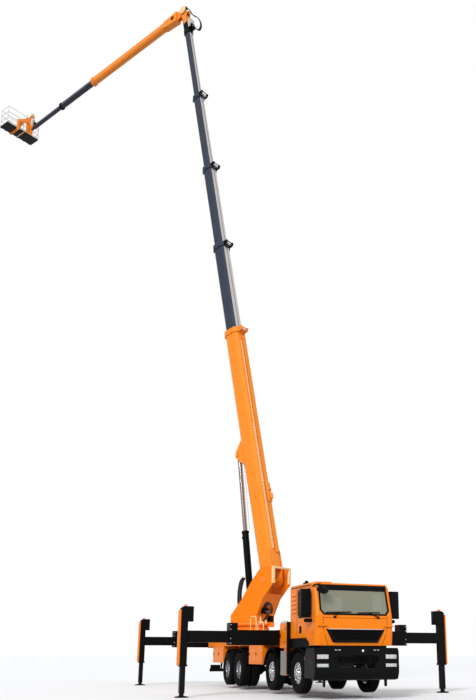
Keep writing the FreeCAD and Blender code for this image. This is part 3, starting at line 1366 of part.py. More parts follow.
def base_boom():
    """Base section with its foot, mouth collar, cable tray and the bracket for the cylinder."""
    across = Vector(0, 1, 0)
    body = tube("base_tube", "base_wide", "base_deep", "boom_wall", "base_start", "base_end - section_collar")
    mouth = end_collar("base_collar", "base_wide", "base_deep", "section_collar_wall", "section_wide",
                       "section_deep", "base_end - section_collar", "base_end")
    close = panel("base_close", "YZ", hull("base_wide", "base_deep", "1"), "base_start", "base_start + 24")
    cheek = panel("foot_cheek", "XZ", [
        ("-40", "-foot_round*0.7"), ("base_start + 700", "-base_deep*0.31"), ("base_start + 700", "base_deep/2"),
        ("base_start", "base_deep/2"), ("-40", "foot_round*0.7")], "base_wide/2 - 44", "base_wide/2")
    toe = faceted("foot_toe", "y", ("0", "base_wide/2 - 44", "0"), "foot_round*0.72", "44")
    lug = panel("top_lug", "XZ", [
        ("luff_top_s - 640", "-base_deep/2 + 10"), ("luff_top_s + 620", "-base_deep/2 + 10"),
        ("luff_top_s + 130", "-luff_top_drop - 60"), ("luff_top_s - 70", "-luff_top_drop - 110"),
        ("luff_top_s - 160", "-luff_top_drop - 40")], "top_lug_half", "top_lug_half + luff_ear")
    lug_cap = faceted("top_lug_cap", "y", ("luff_top_s", "top_lug_half + luff_ear - 4", "-luff_top_drop"),
                      "luff_pin_radius + 16", "30", "small_sides")
    tray = block("base_tray", ("base_start + 600", "base_end - 380"),
                 ("-base_wide/2*(1 - hull_bevel) + tray_margin", "-tray_margin"),
                 ("base_deep/2", "base_deep/2 + base_tray_high"))
    pieces = [body, mouth, close, tray, *roller_ears("base", "base_wide", "base_deep", "base_end")]
    for item in (cheek, toe, lug, lug_cap):
        pieces += both_sides(item, across)
    bore = rod("foot_bore", "y", ("0", "-base_wide", "0"), "boom_pin_radius + running_gap", "2*base_wide")
    sub_part("boom_base", cut("base_all", fuse("base_solid", pieces), [bore]), on_boom())


def section_size(step):
    return (f"(section_wide - {step}*section_step_wide)", f"(section_deep - {step}*section_step_deep)")


def boom_sections():
    """Four telescoping sections. The last one ends in the fork that carries the jib."""
    for step in range(4):
        wide, deep = section_size(step)
        end = f"base_end + {step + 1}*section_reach"
        start = f"{end} - section_length"
        name = f"boom_section_{step + 2}"
        body = tube(f"{name}_tube", wide, deep, "boom_wall", start, f"{end} - section_collar")
        tray = cable_tray(f"{name}_tray", wide, deep, f"{start} + 200", f"{end} - section_collar")
        if step < 3:
            next_wide, next_deep = section_size(step + 1)
            mouth = end_collar(f"{name}_collar", wide, deep, "section_collar_wall", next_wide, next_deep,
                               f"{end} - section_collar", end)
            ears = roller_ears(name, wide, deep, end)
            sub_part(name, fuse(f"{name}_all", [body, tray, mouth, *ears]), on_boom())
            continue
        across = Vector(0, 1, 0)
        band = panel("head_band", "YZ", hull(f"{wide} + 60", f"{deep} + 60"), f"{end} - section_collar", end)
        root = f"{HEAD_PIN} - 460"
        neck = tube("head_neck", wide, deep, "boom_wall", f"{end} - 10", root)
        inner = "jib_tongue_half + side_gap"
        ear = panel("head_ear", "XZ", [
            (f"{end} - 20", f"-{deep}/2 + 14"), (f"{HEAD_PIN} - 90", "-head_round*0.66"),
            (f"{HEAD_PIN} + 60", "-head_round*0.5"), (f"{HEAD_PIN} + 60", "head_round*0.5"),
            (f"{HEAD_PIN} - 90", "head_round*0.66"), (f"{end} - 20", f"{deep}/2 - 14")],
            inner, f"{inner} + head_ear")
        round_end = faceted("head_round_end", "y", (HEAD_PIN, inner, "0"), "head_round*0.66", "head_ear")
        boss = faceted("head_boss", "y", (HEAD_PIN, f"{inner} + head_ear - 4", "0"), "jib_pin_radius + 40", "34",
                       "small_sides")
        pin = rod("jib_pin", "y", (HEAD_PIN, f"-({inner} + 4)", "0"), "jib_pin_radius", f"2*({inner} + 4)")
        cable_box = block("head_cable_box", (f"{end} + 60", f"{end} + 560"),
                          (f"-({wide})/2 + 10", f"({wide})/2 - 10"), (f"({deep})/2 - 20", f"({deep})/2 + 190"))
        pieces = [body, tray, band, neck, pin, cable_box]
        for item in (ear, round_end, boss):
            pieces += both_sides(item, across)
        sub_part(name, fuse(f"{name}_all", pieces), on_boom())


def jib():
    """Jib base with its flared root, and two telescoping sections."""
    across = Vector(0, 1, 0)
    root = "jib_tongue_length"
    flare_end = "jib_root_length"
    body = tube("jib_tube", "jib_wide", "jib_deep", "jib_wall", f"{flare_end} - 4", "jib_length - jib_collar")
    mouth = end_collar("jib_mouth", "jib_wide", "jib_deep", "jib_collar_wall", "jib2_wide", "jib2_deep",
                       "jib_length - jib_collar", "jib_length", slot=False)
    flare_side = [(root, "-jib_root_deep/2"), (flare_end, "-jib_deep/2"), (flare_end, "jib_deep/2"),
                  (root, "jib_root_deep/2")]
    flare = panel("jib_flare", "XZ", flare_side, "-jib_wide/2", "jib_wide/2")
    wall = "jib_wall"
    hollow = panel("jib_flare_room", "XZ", [
        (f"{root} + 24", f"-jib_root_deep/2 + {wall} + 6"), (f"{flare_end} + 10", f"-jib_deep/2 + {wall} + 2"),
        (f"{flare_end} + 10", f"jib_deep/2 - {wall} - 2"), (f"{root} + 24", f"jib_root_deep/2 - {wall} - 6")],
        f"-jib_wide/2 + {wall}", f"jib_wide/2 - {wall}")
    tongue = panel("jib_tongue", "XZ", [
        ("-40", "-head_round*0.55"), (f"{root} + 10", "-jib_root_deep/2 + 20"),
        (f"{root} + 10", "jib_root_deep/2 - 20"), ("-40", "head_round*0.55")],
        "jib_tongue_half - 34", "jib_tongue_half")
    nose = faceted("jib_nose", "y", ("0", "jib_tongue_half - 34", "0"), "head_round*0.6", "34")
    sleeve = faceted("jib_sleeve", "y", ("0", "-jib_tongue_half + 10", "0"), "jib_pin_radius + 30",
                     "2*jib_tongue_half - 20", "small_sides")
    pieces = [body, mouth, cut("jib_flare_shell", flare, [hollow]), sleeve]
    for item in (tongue, nose):
        pieces += both_sides(item, across)
    bore = rod("jib_bore", "y", ("0", "-jib_wide", "0"), "jib_pin_radius + running_gap", "2*jib_wide")
    window = faceted("jib_window", "y", (f"{root} + 300", "-jib_wide", "20"), "jib_window_radius", "2*jib_wide",
                     "small_sides")
    sub_part("jib_base", cut("jib_all", fuse("jib_solid", pieces), [bore, window]), on_jib())

    end2 = "jib_length + jib2_reach"
    body2 = tube("jib2_tube", "jib2_wide", "jib2_deep", "jib_wall", f"{end2} - jib_section_length",
                 f"{end2} - jib_collar")
    mouth2 = end_collar("jib2_mouth", "jib2_wide", "jib2_deep", "jib_collar_wall", "jib3_wide", "jib3_deep",
                        f"{end2} - jib_collar", end2, slot=False)
    sub_part("jib_section_2", fuse("jib2_all", [body2, mouth2]), on_jib())

    tip = JIB_TIP
    body3 = tube("jib3_tube", "jib3_wide", "jib3_deep", "jib_wall", f"{tip} - jib_section_length",
                 f"{tip} - 300")
    cap = panel("jib3_cap", "YZ", hull("jib3_wide", "jib3_deep"), f"{tip} - 310", f"{tip} - 230")
    tongue3 = panel("tip_tongue", "XZ", [
        (f"{tip} - 240", "-tip_round"), (tip, "-tip_round"), (tip, "tip_round"), (f"{tip} - 240", "tip_round")],
        "-tip_half", "tip_half")
    round3 = faceted("tip_round_end", "y", (tip, "-tip_half", "0"), "tip_round", "2*tip_half", "small_sides")
    pin3 = rod("tip_pin", "y", (tip, "-tip_half - tip_ear - 14", "0"), "tip_pin_radius", "2*(tip_half + tip_ear + 14)")
    sub_part("jib_section_3", fuse("jib3_all", [body3, cap, tongue3, round3, pin3]), on_jib())


def basket():
    """The arm that levels and swings the basket, and the basket itself."""
    across = Vector(0, 1, 0)
    near = "tip_half + side_gap/2"
    ear = panel("arm_ear", "XZ", [
        ("-tip_round*0.8", "-tip_round*0.55"), ("tip_round*0.6", "-tip_round*0.8"), ("post_r + 70", "120"),
        ("post_r + 70", "250"), ("post_r - 75", "250"), ("post_r - 80", "190"), ("-tip_round*0.8", "tip_round*0.6")],
        near, f"{near} + tip_ear")
    saddle = block("arm_saddle", ("post_r - 74", "post_r + 70"), (f"-({near} + tip_ear)", f"{near} + tip_ear"),
                   ("185", "250"))
    post = rod("swing_pin", "z", ("post_r", "0", "240"), "swing_pin_radius", "swing_pin_high - 240")
    bore = rod("arm_bore", "y", ("0", "-300", "0"), "tip_pin_radius + running_gap", "600")
    arm = cut("arm_all", fuse("arm_solid", [*both_sides(ear, across), saddle, post]), [bore])
    sub_part("basket_arm", arm, on_basket())

    low_x = "basket_off_r"
    high_x = "basket_off_r + basket_deep"
    low_y = "basket_off_side - basket_wide/2"
    high_y = "basket_off_side + basket_wide/2"
    floor_z = "-basket_floor_drop"
    floor = block("basket_floor", (low_x, high_x), (low_y, high_y), (f"{floor_z} - basket_floor_thick", floor_z))
    pieces = [floor]
    tube_r = "rail_tube_radius"
    rail_x = (f"{low_x} + {tube_r}", f"{high_x} - {tube_r}")
    rail_y = (f"{low_y} + {tube_r}", f"{high_y} - {tube_r}")
    for k, at_x in enumerate(rail_x):
        for j, at_y in enumerate((rail_y[0], "basket_off_side", rail_y[1])):
            pieces.append(faceted(f"rail_post_{k}{j}", "z", (at_x, at_y, f"{floor_z} - 10"), f"{tube_r} + 2",
                                  "basket_rail_high + 10", "rail_sides"))
        for j in range(3):
            level = f"{floor_z} + basket_rail_high*({j + 1})/3 - {tube_r}"
            pieces.append(faceted(f"rail_long_{k}{j}", "y", (at_x, rail_y[0], level), tube_r,
                                  f"basket_wide - 2*{tube_r}", "rail_sides"))
    for k, at_y in enumerate(rail_y):
        for j in range(3):
            level = f"{floor_z} + basket_rail_high*({j + 1})/3 - {tube_r}"
            pieces.append(faceted(f"rail_short_{k}{j}", "x", (rail_x[0], at_y, level), f"{tube_r} - 1",
                                  f"basket_deep - 2*{tube_r}", "rail_sides"))
    sleeve = faceted("swing_sleeve", "z", ("post_r", "0", "250 + seat_gap"), "swing_pin_radius + 28",
                     "swing_pin_high - 330", "small_sides")
    web = block("swing_web", ("post_r + 30", f"{low_x} + 2*{tube_r}"), ("-40", "40"), ("270", "swing_pin_high - 100"))
    back = block("swing_back", (f"{low_x}", f"{low_x} + 2*{tube_r}"), ("-220", "220"),
                 (f"{floor_z} - 10", f"{floor_z} + basket_rail_high"))
    console = block("basket_console", (f"{low_x} + 2*{tube_r} - 4", f"{low_x} + 270"), ("-180", "220"),
                    ("640", "860"))
    beam_y = "basket_off_side + basket_wide/6"
    under = f"({floor_z} - basket_floor_thick)"
    for k, (at, wide, deep) in enumerate(((beam_y, "65", "basket_beam_deep"), ("basket_off_side - 60", "22", "30"))):
        pieces.append(block(f"floor_beam_{k}", (low_x, high_x), (f"{at} - {wide}", f"{at} + {wide}"),
                            (f"{under} - {deep}", f"{under} + 4")))
    pieces.append(panel("swing_frame", "YZ", [
        ("-70", "swing_pin_high - 90"), ("90", "swing_pin_high - 90"), ("330", "swing_pin_high - 230"),
        (f"{beam_y} + 70", "330"), (f"{beam_y} + 70", f"{under} - basket_beam_deep"),
        (f"{beam_y} - 60", f"{under} - basket_beam_deep"), (f"{beam_y} - 60", "270"),
        ("230", "swing_pin_high - 420"), ("-70", "swing_pin_high - 300")],
        f"{low_x} - basket_frame_thick", f"{low_x} + {tube_r}*1.3"))
    swing_bore = rod("swing_bore", "z", ("post_r", "0", "200"), "swing_pin_radius + running_gap", "swing_pin_high")
    pieces += [sleeve, web, back, console]
    sub_part("basket_cage", cut("basket_all", fuse("basket_solid", pieces), [swing_bore]), on_basket())


for builder in (chassis_frame, outrigger_boxes, service_body, engine_block, front_axles, rear_axles, wheels,
                knuckles, outriggers, cab, front_end, mudguards, valve_cabinet, turret, luff_cylinder, base_boom,
                boom_sections, jib, basket):
    builder()

doc.recompute()

faults = []
for item in doc.Objects:
    if "Invalid" in item.State or "Error" in item.State:
        faults.append(f"{item.Name}: {item.State}")
for item in sub_parts:
    if item.Shape.isNull() or not item.Shape.isValid() or not item.Shape.Solids:
        faults.append(f"{item.Label}: no valid shape")
if faults:
    raise RuntimeError("; ".join(faults))

os.makedirs("parts", exist_ok=True)
whole = FreeCAD.BoundBox()
for item in sub_parts:
    item.Shape.exportStep(f"parts/{item.Label}.step")
    whole.add(item.Shape.BoundBox)
print(len(sub_parts), "sub-parts", whole)
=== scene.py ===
import json
import math

import bmesh
import bpy
import numpy as np
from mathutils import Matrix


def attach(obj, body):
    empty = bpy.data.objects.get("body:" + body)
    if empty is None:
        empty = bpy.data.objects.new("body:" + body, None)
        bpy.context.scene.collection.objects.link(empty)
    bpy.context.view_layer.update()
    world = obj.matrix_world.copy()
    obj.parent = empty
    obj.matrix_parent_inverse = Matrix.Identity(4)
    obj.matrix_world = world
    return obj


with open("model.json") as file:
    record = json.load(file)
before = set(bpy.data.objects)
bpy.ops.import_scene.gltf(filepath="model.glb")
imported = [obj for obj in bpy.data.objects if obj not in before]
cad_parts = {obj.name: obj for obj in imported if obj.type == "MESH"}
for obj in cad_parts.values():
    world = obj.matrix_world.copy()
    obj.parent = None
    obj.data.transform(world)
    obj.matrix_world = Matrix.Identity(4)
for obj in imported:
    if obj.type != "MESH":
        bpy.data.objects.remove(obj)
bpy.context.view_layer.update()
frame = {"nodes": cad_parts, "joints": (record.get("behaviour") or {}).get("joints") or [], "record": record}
joints = {joint["name"]: joint for joint in frame["joints"]}

# Frames that the pieces are placed from, in metres

UP = np.array([0.0, 0.0, 1.0])
HERE = np.eye(4)
SIDES = (("left", 1), ("right", -1))
FORWARD = ((0, -1, 0), (1, 0, 0))


def place(origin, x_axis, y_axis):
    """A frame as a 4 by 4 matrix, from its origin, its x direction and its y direction."""
    matrix = np.eye(4)
    matrix[:3, 0] = x_axis
    matrix[:3, 1] = y_axis
    matrix[:3, 2] = np.cross(x_axis, y_axis)
    matrix[:3, 3] = origin
    return matrix


def beyond(matrix, x=0.0, y=0.0, z=0.0):
    """The same frame, moved by local distances."""
    result = matrix.copy()
    result[:3, 3] = matrix[:3, 3] + matrix[:3, :3] @ np.array([x, y, z])
    return result


def turned(matrix, axis, degrees):
    """The same frame, turned about one of its own axes."""
    c, s = math.cos(math.radians(degrees)), math.sin(math.radians(degrees))
    turn = np.eye(4)
    a, b = {"x": (1, 2), "y": (2, 0), "z": (0, 1)}[axis]
    turn[a, a], turn[a, b], turn[b, a], turn[b, b] = c, -s, s, c
    return matrix @ turn


def joint_at(name):
    return np.array(joints[name]["pos_m"], float)


front_axle = (joint_at("spin_1_left") + joint_at("spin_1_right")) / 2
across = np.array(joints["luff"]["axis"], float)
heading = np.cross(across, UP)
TRUCK = place(front_axle * [1, 1, 0], (1, 0, 0), (0, 1, 0))
TURRET = place(joint_at("slew") * [1, 1, 0], heading, across)
LUFF = place(joint_at("luff_barrel_hinge"), joints["luff_rod_slide"]["axis"], across)
BOOM = place(joint_at("luff"), joints["boom_extend_2"]["axis"], across)
JIB = place(joint_at("jib_fold"), joints["jib_extend_2"]["axis"], across)
BASKET = place(joint_at("basket_level"), heading, across)

# Parts: each is a pair of its points and its faces as index arrays

ON_AXIS = 0.0005
BAR_SIDES = 16


def grid_faces(rows, columns, wrap_rows=False, wrap_columns=False):
    """Quads between the points of a grid, as index arrays. Either way may close on itself."""
    i = np.arange(rows if wrap_rows else rows - 1)
    j = np.arange(columns if wrap_columns else columns - 1)
    i, j = (a.ravel() for a in np.meshgrid(i, j, indexing="ij"))
    i2, j2 = (i + 1) % rows, (j + 1) % columns
    return np.stack([i * columns + j, i2 * columns + j, i2 * columns + j2, i * columns + j2], axis=1)


def skin(rings):
    """A closed skin through rings of points, shaped (rings, points, 3), with flat ends.
    The ends are fans round the mean of the end rings."""
    rings = np.asarray(rings, float)
    rows, columns = rings.shape[:2]
    points = np.concatenate([rings.reshape(-1, 3), [rings[0].mean(axis=0), rings[-1].mean(axis=0)]])
    j = np.arange(columns)
    after = (j + 1) % columns
    base = (rows - 1) * columns
    low = np.stack([j, after, np.full(columns, len(points) - 2)], axis=1)
    high = np.stack([base + after, base + j, np.full(columns, len(points) - 1)], axis=1)
    return points, [grid_faces(rows, columns, wrap_columns=True), low, high]


def ring_band(loops):
    """A closed band through loops of points, shaped (loops, points, 3), the last joined to the first."""
    loops = np.asarray(loops, float)
    rows, columns = loops.shape[:2]
    return loops.reshape(-1, 3), [grid_faces(rows, columns, wrap_rows=True, wrap_columns=True)]


def join(*parts):
    points, faces, start = [], [], 0
    for part_points, part_faces in parts:
        points.append(part_points)
        faces += [group + start for group in part_faces]
        start += len(part_points)
    return np.concatenate(points), faces


def moved(part, matrix):
    points, faces = part
    return points @ matrix[:3, :3].T + matrix[:3, 3], faces


def aimed(part, point, x_axis=(1, 0, 0), y_axis=(0, 1, 0)):
    """A part carried to a point, with its x and y directions given."""
    return moved(part, place(point, x_axis, y_axis))


def upright(part, point=(0, 0, 0)):
    """A part lathed about x, stood up along z at a point."""
    return aimed(part, point, (0, 0, 1))


def repeated(part, matrices):
    return join(*[moved(part, matrix) for matrix in matrices])


def at_points(part, points):
    return repeated(part, [beyond(HERE, *point) for point in points])


def scaled(part, factors):
    points, faces = part
    return points * np.array(factors, float), faces


def on_side(part, sign):
    """A part made for the left side, or its mirror image for the right."""
    return scaled(part, (sign, 1, 1))


def both_sides(*parts):
    """Parts made for the left side, with their mirror images."""
    return join(*[on_side(part, sign) for sign in (1, -1) for part in parts])


def circle(count, radius=1.0):
    angle = np.arange(count) * (2 * math.pi / count)
    return np.stack([radius * np.cos(angle), radius * np.sin(angle)], axis=1)


def rounded_rectangle(half_a, half_b, radius, steps):
    """The outline of a rectangle whose corners are quarter circles."""
    angle = np.linspace(0, math.pi / 2, steps + 1)
    corners = []
    for k, (a, b) in enumerate(((1, 1), (-1, 1), (-1, -1), (1, -1))):
        turn = angle + k * math.pi / 2
        corners.append(np.stack([a * (half_a - radius) + radius * np.cos(turn),
            b * (half_b - radius) + radius * np.sin(turn)], axis=1))
    return np.concatenate(corners)


def block(low, high, radius, steps=3):
    """A box with rounded edges: its outline drawn in by r(1 - cos t) at height r sin t from each end."""
    low, high = np.array(low, float), np.array(high, float)
    centre, half = (low + high) / 2, (high - low) / 2
    radius = min(radius, half.min() * 0.98)
    angle = np.linspace(-math.pi / 2, 0, steps + 1)
    lower = [(half[2] - radius - radius * math.sin(t), radius * (1 - math.cos(t))) for t in angle]
    levels = [(-z, inset) for z, inset in lower] + [(z, inset) for z, inset in reversed(lower)]
    rings = []
    for z, inset in levels:
        corner = max(radius - inset, radius * 0.05)
        outline = rounded_rectangle(half[0] - inset, half[1] - inset, corner, steps)
        rings.append(np.column_stack([outline, np.full(len(outline), z)]) + centre)
    return skin(rings)


def rings_about_x(profile, count):
    """A ring of points for each (x, radius) of a profile. Radius 0 stands for a tiny ring on the axis."""
    ring = circle(count)
    return [np.column_stack([np.full(count, x), max(r, ON_AXIS) * ring]) for x, r in profile]


def lathe(profile, count):
    """An outline of (x, radius) points turned about x, with flat ends."""
    return skin(rings_about_x(profile, count))


def ring_lathe(profile, count):
    """A closed outline of (x, radius) points off the axis, turned about x, such as a tyre."""
    return ring_band(rings_about_x(profile, count))


def drawn_in(outline, inset):
    """Each corner moved inwards along the bisector of its two sides, so that both sides move by inset."""
    outline = np.array(outline, float)
    before = np.roll(outline, 1, axis=0)
    after = np.roll(outline, -1, axis=0)
    first = (outline - before) / np.linalg.norm(outline - before, axis=1, keepdims=True)
    second = (after - outline) / np.linalg.norm(after - outline, axis=1, keepdims=True)
    area = np.sum(outline[:, 0] * after[:, 1] - after[:, 0] * outline[:, 1]) / 2
    sign = 1.0 if area > 0 else -1.0
    normal_first = np.stack([-first[:, 1], first[:, 0]], axis=1) * sign
    normal_second = np.stack([-second[:, 1], second[:, 0]], axis=1) * sign
    bisector = normal_first + normal_second
    scale = inset / np.maximum(np.sum(bisector * normal_first, axis=1, keepdims=True), 0.3)
    return outline + bisector * scale


def prism(outline, low, high, bevel=0.0):
    """An outline in x and z carried along y from low to high, its end edges drawn in by a bevel."""
    levels = [(low, 0.0), (high, 0.0)]
    if bevel:
        levels = [(low, bevel), (low + bevel, 0.0), (high - bevel, 0.0), (high, bevel)]
    rings = []
    for y, inset in levels:
        shape = drawn_in(outline, inset)
        rings.append(np.column_stack([shape[:, 0], np.full(len(shape), y), shape[:, 1]]))
    return skin(rings)


def side_plate(outline, low, high, bevel=0.0):
    """An outline in y and z carried along x."""
    points, faces = prism(outline, low, high, bevel)
    return points[:, [1, 0, 2]], faces


def flat_plate(outline, low, high, bevel=0.0):
    """An outline in x and y carried along z."""
    points, faces = prism(outline, low, high, bevel)
    return points[:, [0, 2, 1]], faces


def rectangle(low_a, high_a, low_b, high_b):
    return [(low_a, low_b), (high_a, low_b), (high_a, high_b), (low_a, high_b)]


def frame_round(outline, at, wide, thick):
    """A flat frame round an outline in y and z, standing on the plane x = at."""
    inner, outer = drawn_in(outline, wide / 2), drawn_in(outline, -wide / 2)
    loops = []
    for shape, x in ((outer, at), (outer, at + thick * 0.6), (drawn_in(outer, thick * 0.4), at + thick),
            (drawn_in(inner, -thick * 0.4), at + thick), (inner, at + thick * 0.6), (inner, at)):
        loops.append(np.column_stack([np.full(len(shape), x), shape]))
    return ring_band(loops)


def smooth_path(points, per_span):
    """Catmull-Rom curve through the points: each span is the cubic whose end slopes are half the chord
    between the neighbours."""
    points = np.array(points, float)
    padded = np.concatenate([[2 * points[0] - points[1]], points, [2 * points[-1] - points[-2]]])
    t = np.linspace(0, 1, per_span, endpoint=False)[None, :, None]
    p0, p1, p2, p3 = (padded[k:len(padded) - 3 + k][:, None, :] for k in range(4))
    curve = 0.5 * (2 * p1 + (p2 - p0) * t + (2 * p0 - 5 * p1 + 4 * p2 - p3) * t ** 2
                   + (3 * p1 - p0 - 3 * p2 + p3) * t ** 3)
    return np.concatenate([curve.reshape(-1, 3), points[-1:]])


def carried(profile, path):
    """A closed profile (across, up) carried along a path, with frames kept level where the path allows."""
    path = np.array(path, float)
    tangent = np.gradient(path, axis=0)
    tangent /= np.linalg.norm(tangent, axis=1, keepdims=True)
    reference = UP if abs(tangent[:, 2]).max() < 0.95 else np.array([0.0, 1.0, 0.0])
    if abs(tangent @ reference).max() > 0.97:
        reference = np.array([1.0, 0.0, 0.0])
    side = np.cross(tangent, reference)
    side /= np.linalg.norm(side, axis=1, keepdims=True)
    lift = np.cross(side, tangent)
    return skin(path[:, None] + side[:, None] * profile[None, :, :1] + lift[:, None] * profile[None, :, 1:])


def hose(points, radius, count, per_span=6):
    """A round hose or rod along a smooth path."""
    return carried(circle(count, radius), smooth_path(points, per_span))


def bar(start, end, radius, count=BAR_SIDES):
    """A straight round bar with slightly drawn-in ends."""
    run = np.array(end, float) - start
    length = np.linalg.norm(run)
    along = run / length
    side = np.cross(UP if abs(along[2]) < 0.9 else (1.0, 0.0, 0.0), along)
    nose = min(radius * 0.2, length * 0.2)
    profile = [(0, radius - nose), (nose, radius), (length - nose, radius), (length, radius - nose)]
    return aimed(lathe(profile, count), start, along, side / np.linalg.norm(side))


# Finishes

def nodes_of(name):
    material = bpy.data.materials.new(name)
    material.use_nodes = True
    tree = material.node_tree
    return material, tree, tree.nodes["Principled BSDF"]


def feed(tree, node, inputs):
    """Sets a node's inputs. Each is a value, a socket that feeds it or a node whose first output does."""
    for key, value in inputs.items():
        if isinstance(value, bpy.types.Node):
            value = value.outputs[0]
        if isinstance(value, bpy.types.NodeSocket):
            tree.links.new(value, node.inputs[key])
        else:
            node.inputs[key].default_value = value


def add(tree, kind, inputs):
    node = tree.nodes.new(kind)
    feed(tree, node, inputs)
    return node


def spot_on(tree):
    """The object's own coordinates."""
    return add(tree, "ShaderNodeTexCoord", {}).outputs["Object"]


def mixed(tree, share, first, second):
    """A colour between two, by a share from 0 to 1."""
    node = tree.nodes.new("ShaderNodeMix")
    node.data_type = "RGBA"
    feed(tree, node, {0: share, 6: first, 7: second})
    return node.outputs[2]


def combined(tree, operation, first, second):
    node = tree.nodes.new("ShaderNodeMath")
    node.operation = operation
    feed(tree, node, {0: first, 1: second})
    return node


def surface(name, colour, roughness, metallic=0.0, coat=0.0, variation=0.06, scale=3.0, bump=0.0,
        bump_scale=200.0, dust=0.0, dust_colour=(0.35, 0.32, 0.28), streaks=0.0, specular=0.5):
    """A finish whose colour and roughness wander slowly, with a fine bump and dust that settles low down.
    The colour runs from 1 - 2.2 v to 1 + 1.6 v of itself, v being the variation."""
    material, tree, shader = nodes_of(name)
    spot = spot_on(tree)
    slow = add(tree, "ShaderNodeTexNoise", {"Scale": scale, "Detail": 5.0, "Roughness": 0.6,
        "Vector": spot})
    dark = [c * (1 - 2.2 * variation) for c in colour]
    light = [min(c * (1 + 1.6 * variation), 1.0) for c in colour]
    shown = mixed(tree, slow, (*dark, 1), (*light, 1))
    if streaks:
        stretched = add(tree, "ShaderNodeMapping", {"Scale": (9.0, 9.0, 0.35), "Vector": spot})
        run = add(tree, "ShaderNodeTexNoise", {"Scale": 2.0, "Detail": 3.0, "Vector": stretched})
        narrow = add(tree, "ShaderNodeMapRange", {"From Min": 0.52, "From Max": 0.75, "To Max": streaks,
            "Value": run})
        shown = mixed(tree, narrow, shown, (*dust_colour, 1))
    if dust:
        height = add(tree, "ShaderNodeSeparateXYZ", {"Vector": spot}).outputs["Z"]
        low = add(tree, "ShaderNodeMapRange", {"From Min": 2.0, "From Max": 0.1, "To Max": dust,
            "Value": height})
        patchy = combined(tree, "MULTIPLY", low, slow)
        shown = mixed(tree, patchy, shown, (*dust_colour, 1))
    rough = add(tree, "ShaderNodeMapRange",
        {"To Min": max(roughness - 0.08, 0.03), "To Max": min(roughness + 0.10, 1.0), "Value": slow})
    feed(tree, shader, {"Base Color": shown, "Roughness": rough, "Metallic": metallic, "Coat Weight": coat,
        "Specular IOR Level": specular, "Coat Roughness": 0.1})
    if bump:
        fine = add(tree, "ShaderNodeTexNoise", {"Scale": bump_scale, "Detail": 3.0, "Vector": spot})
        raised = add(tree, "ShaderNodeBump", {"Strength": bump, "Distance": 0.002, "Height": fine})
        feed(tree, shader, {"Normal": raised})
    return material


def clear_glass(name, colour, see_through):
    """Tinted pane: part mirror-smooth glass, part transparent."""
    material, tree, shader = nodes_of(name)
    waves = add(tree, "ShaderNodeTexNoise", {"Scale": 1.5, "Vector": spot_on(tree)})
    raised = add(tree, "ShaderNodeBump", {"Strength": 0.02, "Height": waves})
    feed(tree, shader, {"Base Color": (*colour, 1), "Roughness": 0.04, "Coat Weight": 0.6,
        "Alpha": 1 - see_through, "Normal": raised})
    return material


def pierced(name, colour, spacing):
    """Sheet metal with a pattern of round holes, drawn by the distance to the nearest point of a grid. The
    holes are painted near-black, as painted shade seen through them.
    """
    material = surface(name, colour, 0.35, metallic=0.8)
    tree = material.node_tree
    shader = tree.nodes["Principled BSDF"]
    cells = add(tree, "ShaderNodeTexVoronoi", {"Scale": 1.0 / spacing, "Randomness": 0.0,
        "Vector": spot_on(tree)})
    step = add(tree, "ShaderNodeMapRange", {"From Min": 0.30, "From Max": 0.36, "Value": cells})
    before = shader.inputs["Base Color"].links[0].from_socket
    # painted shade: the holes take a near-black colour and no metal
    feed(tree, shader, {"Base Color": mixed(tree, step, (0.02, 0.02, 0.02, 1), before), "Metallic": step})
    return material


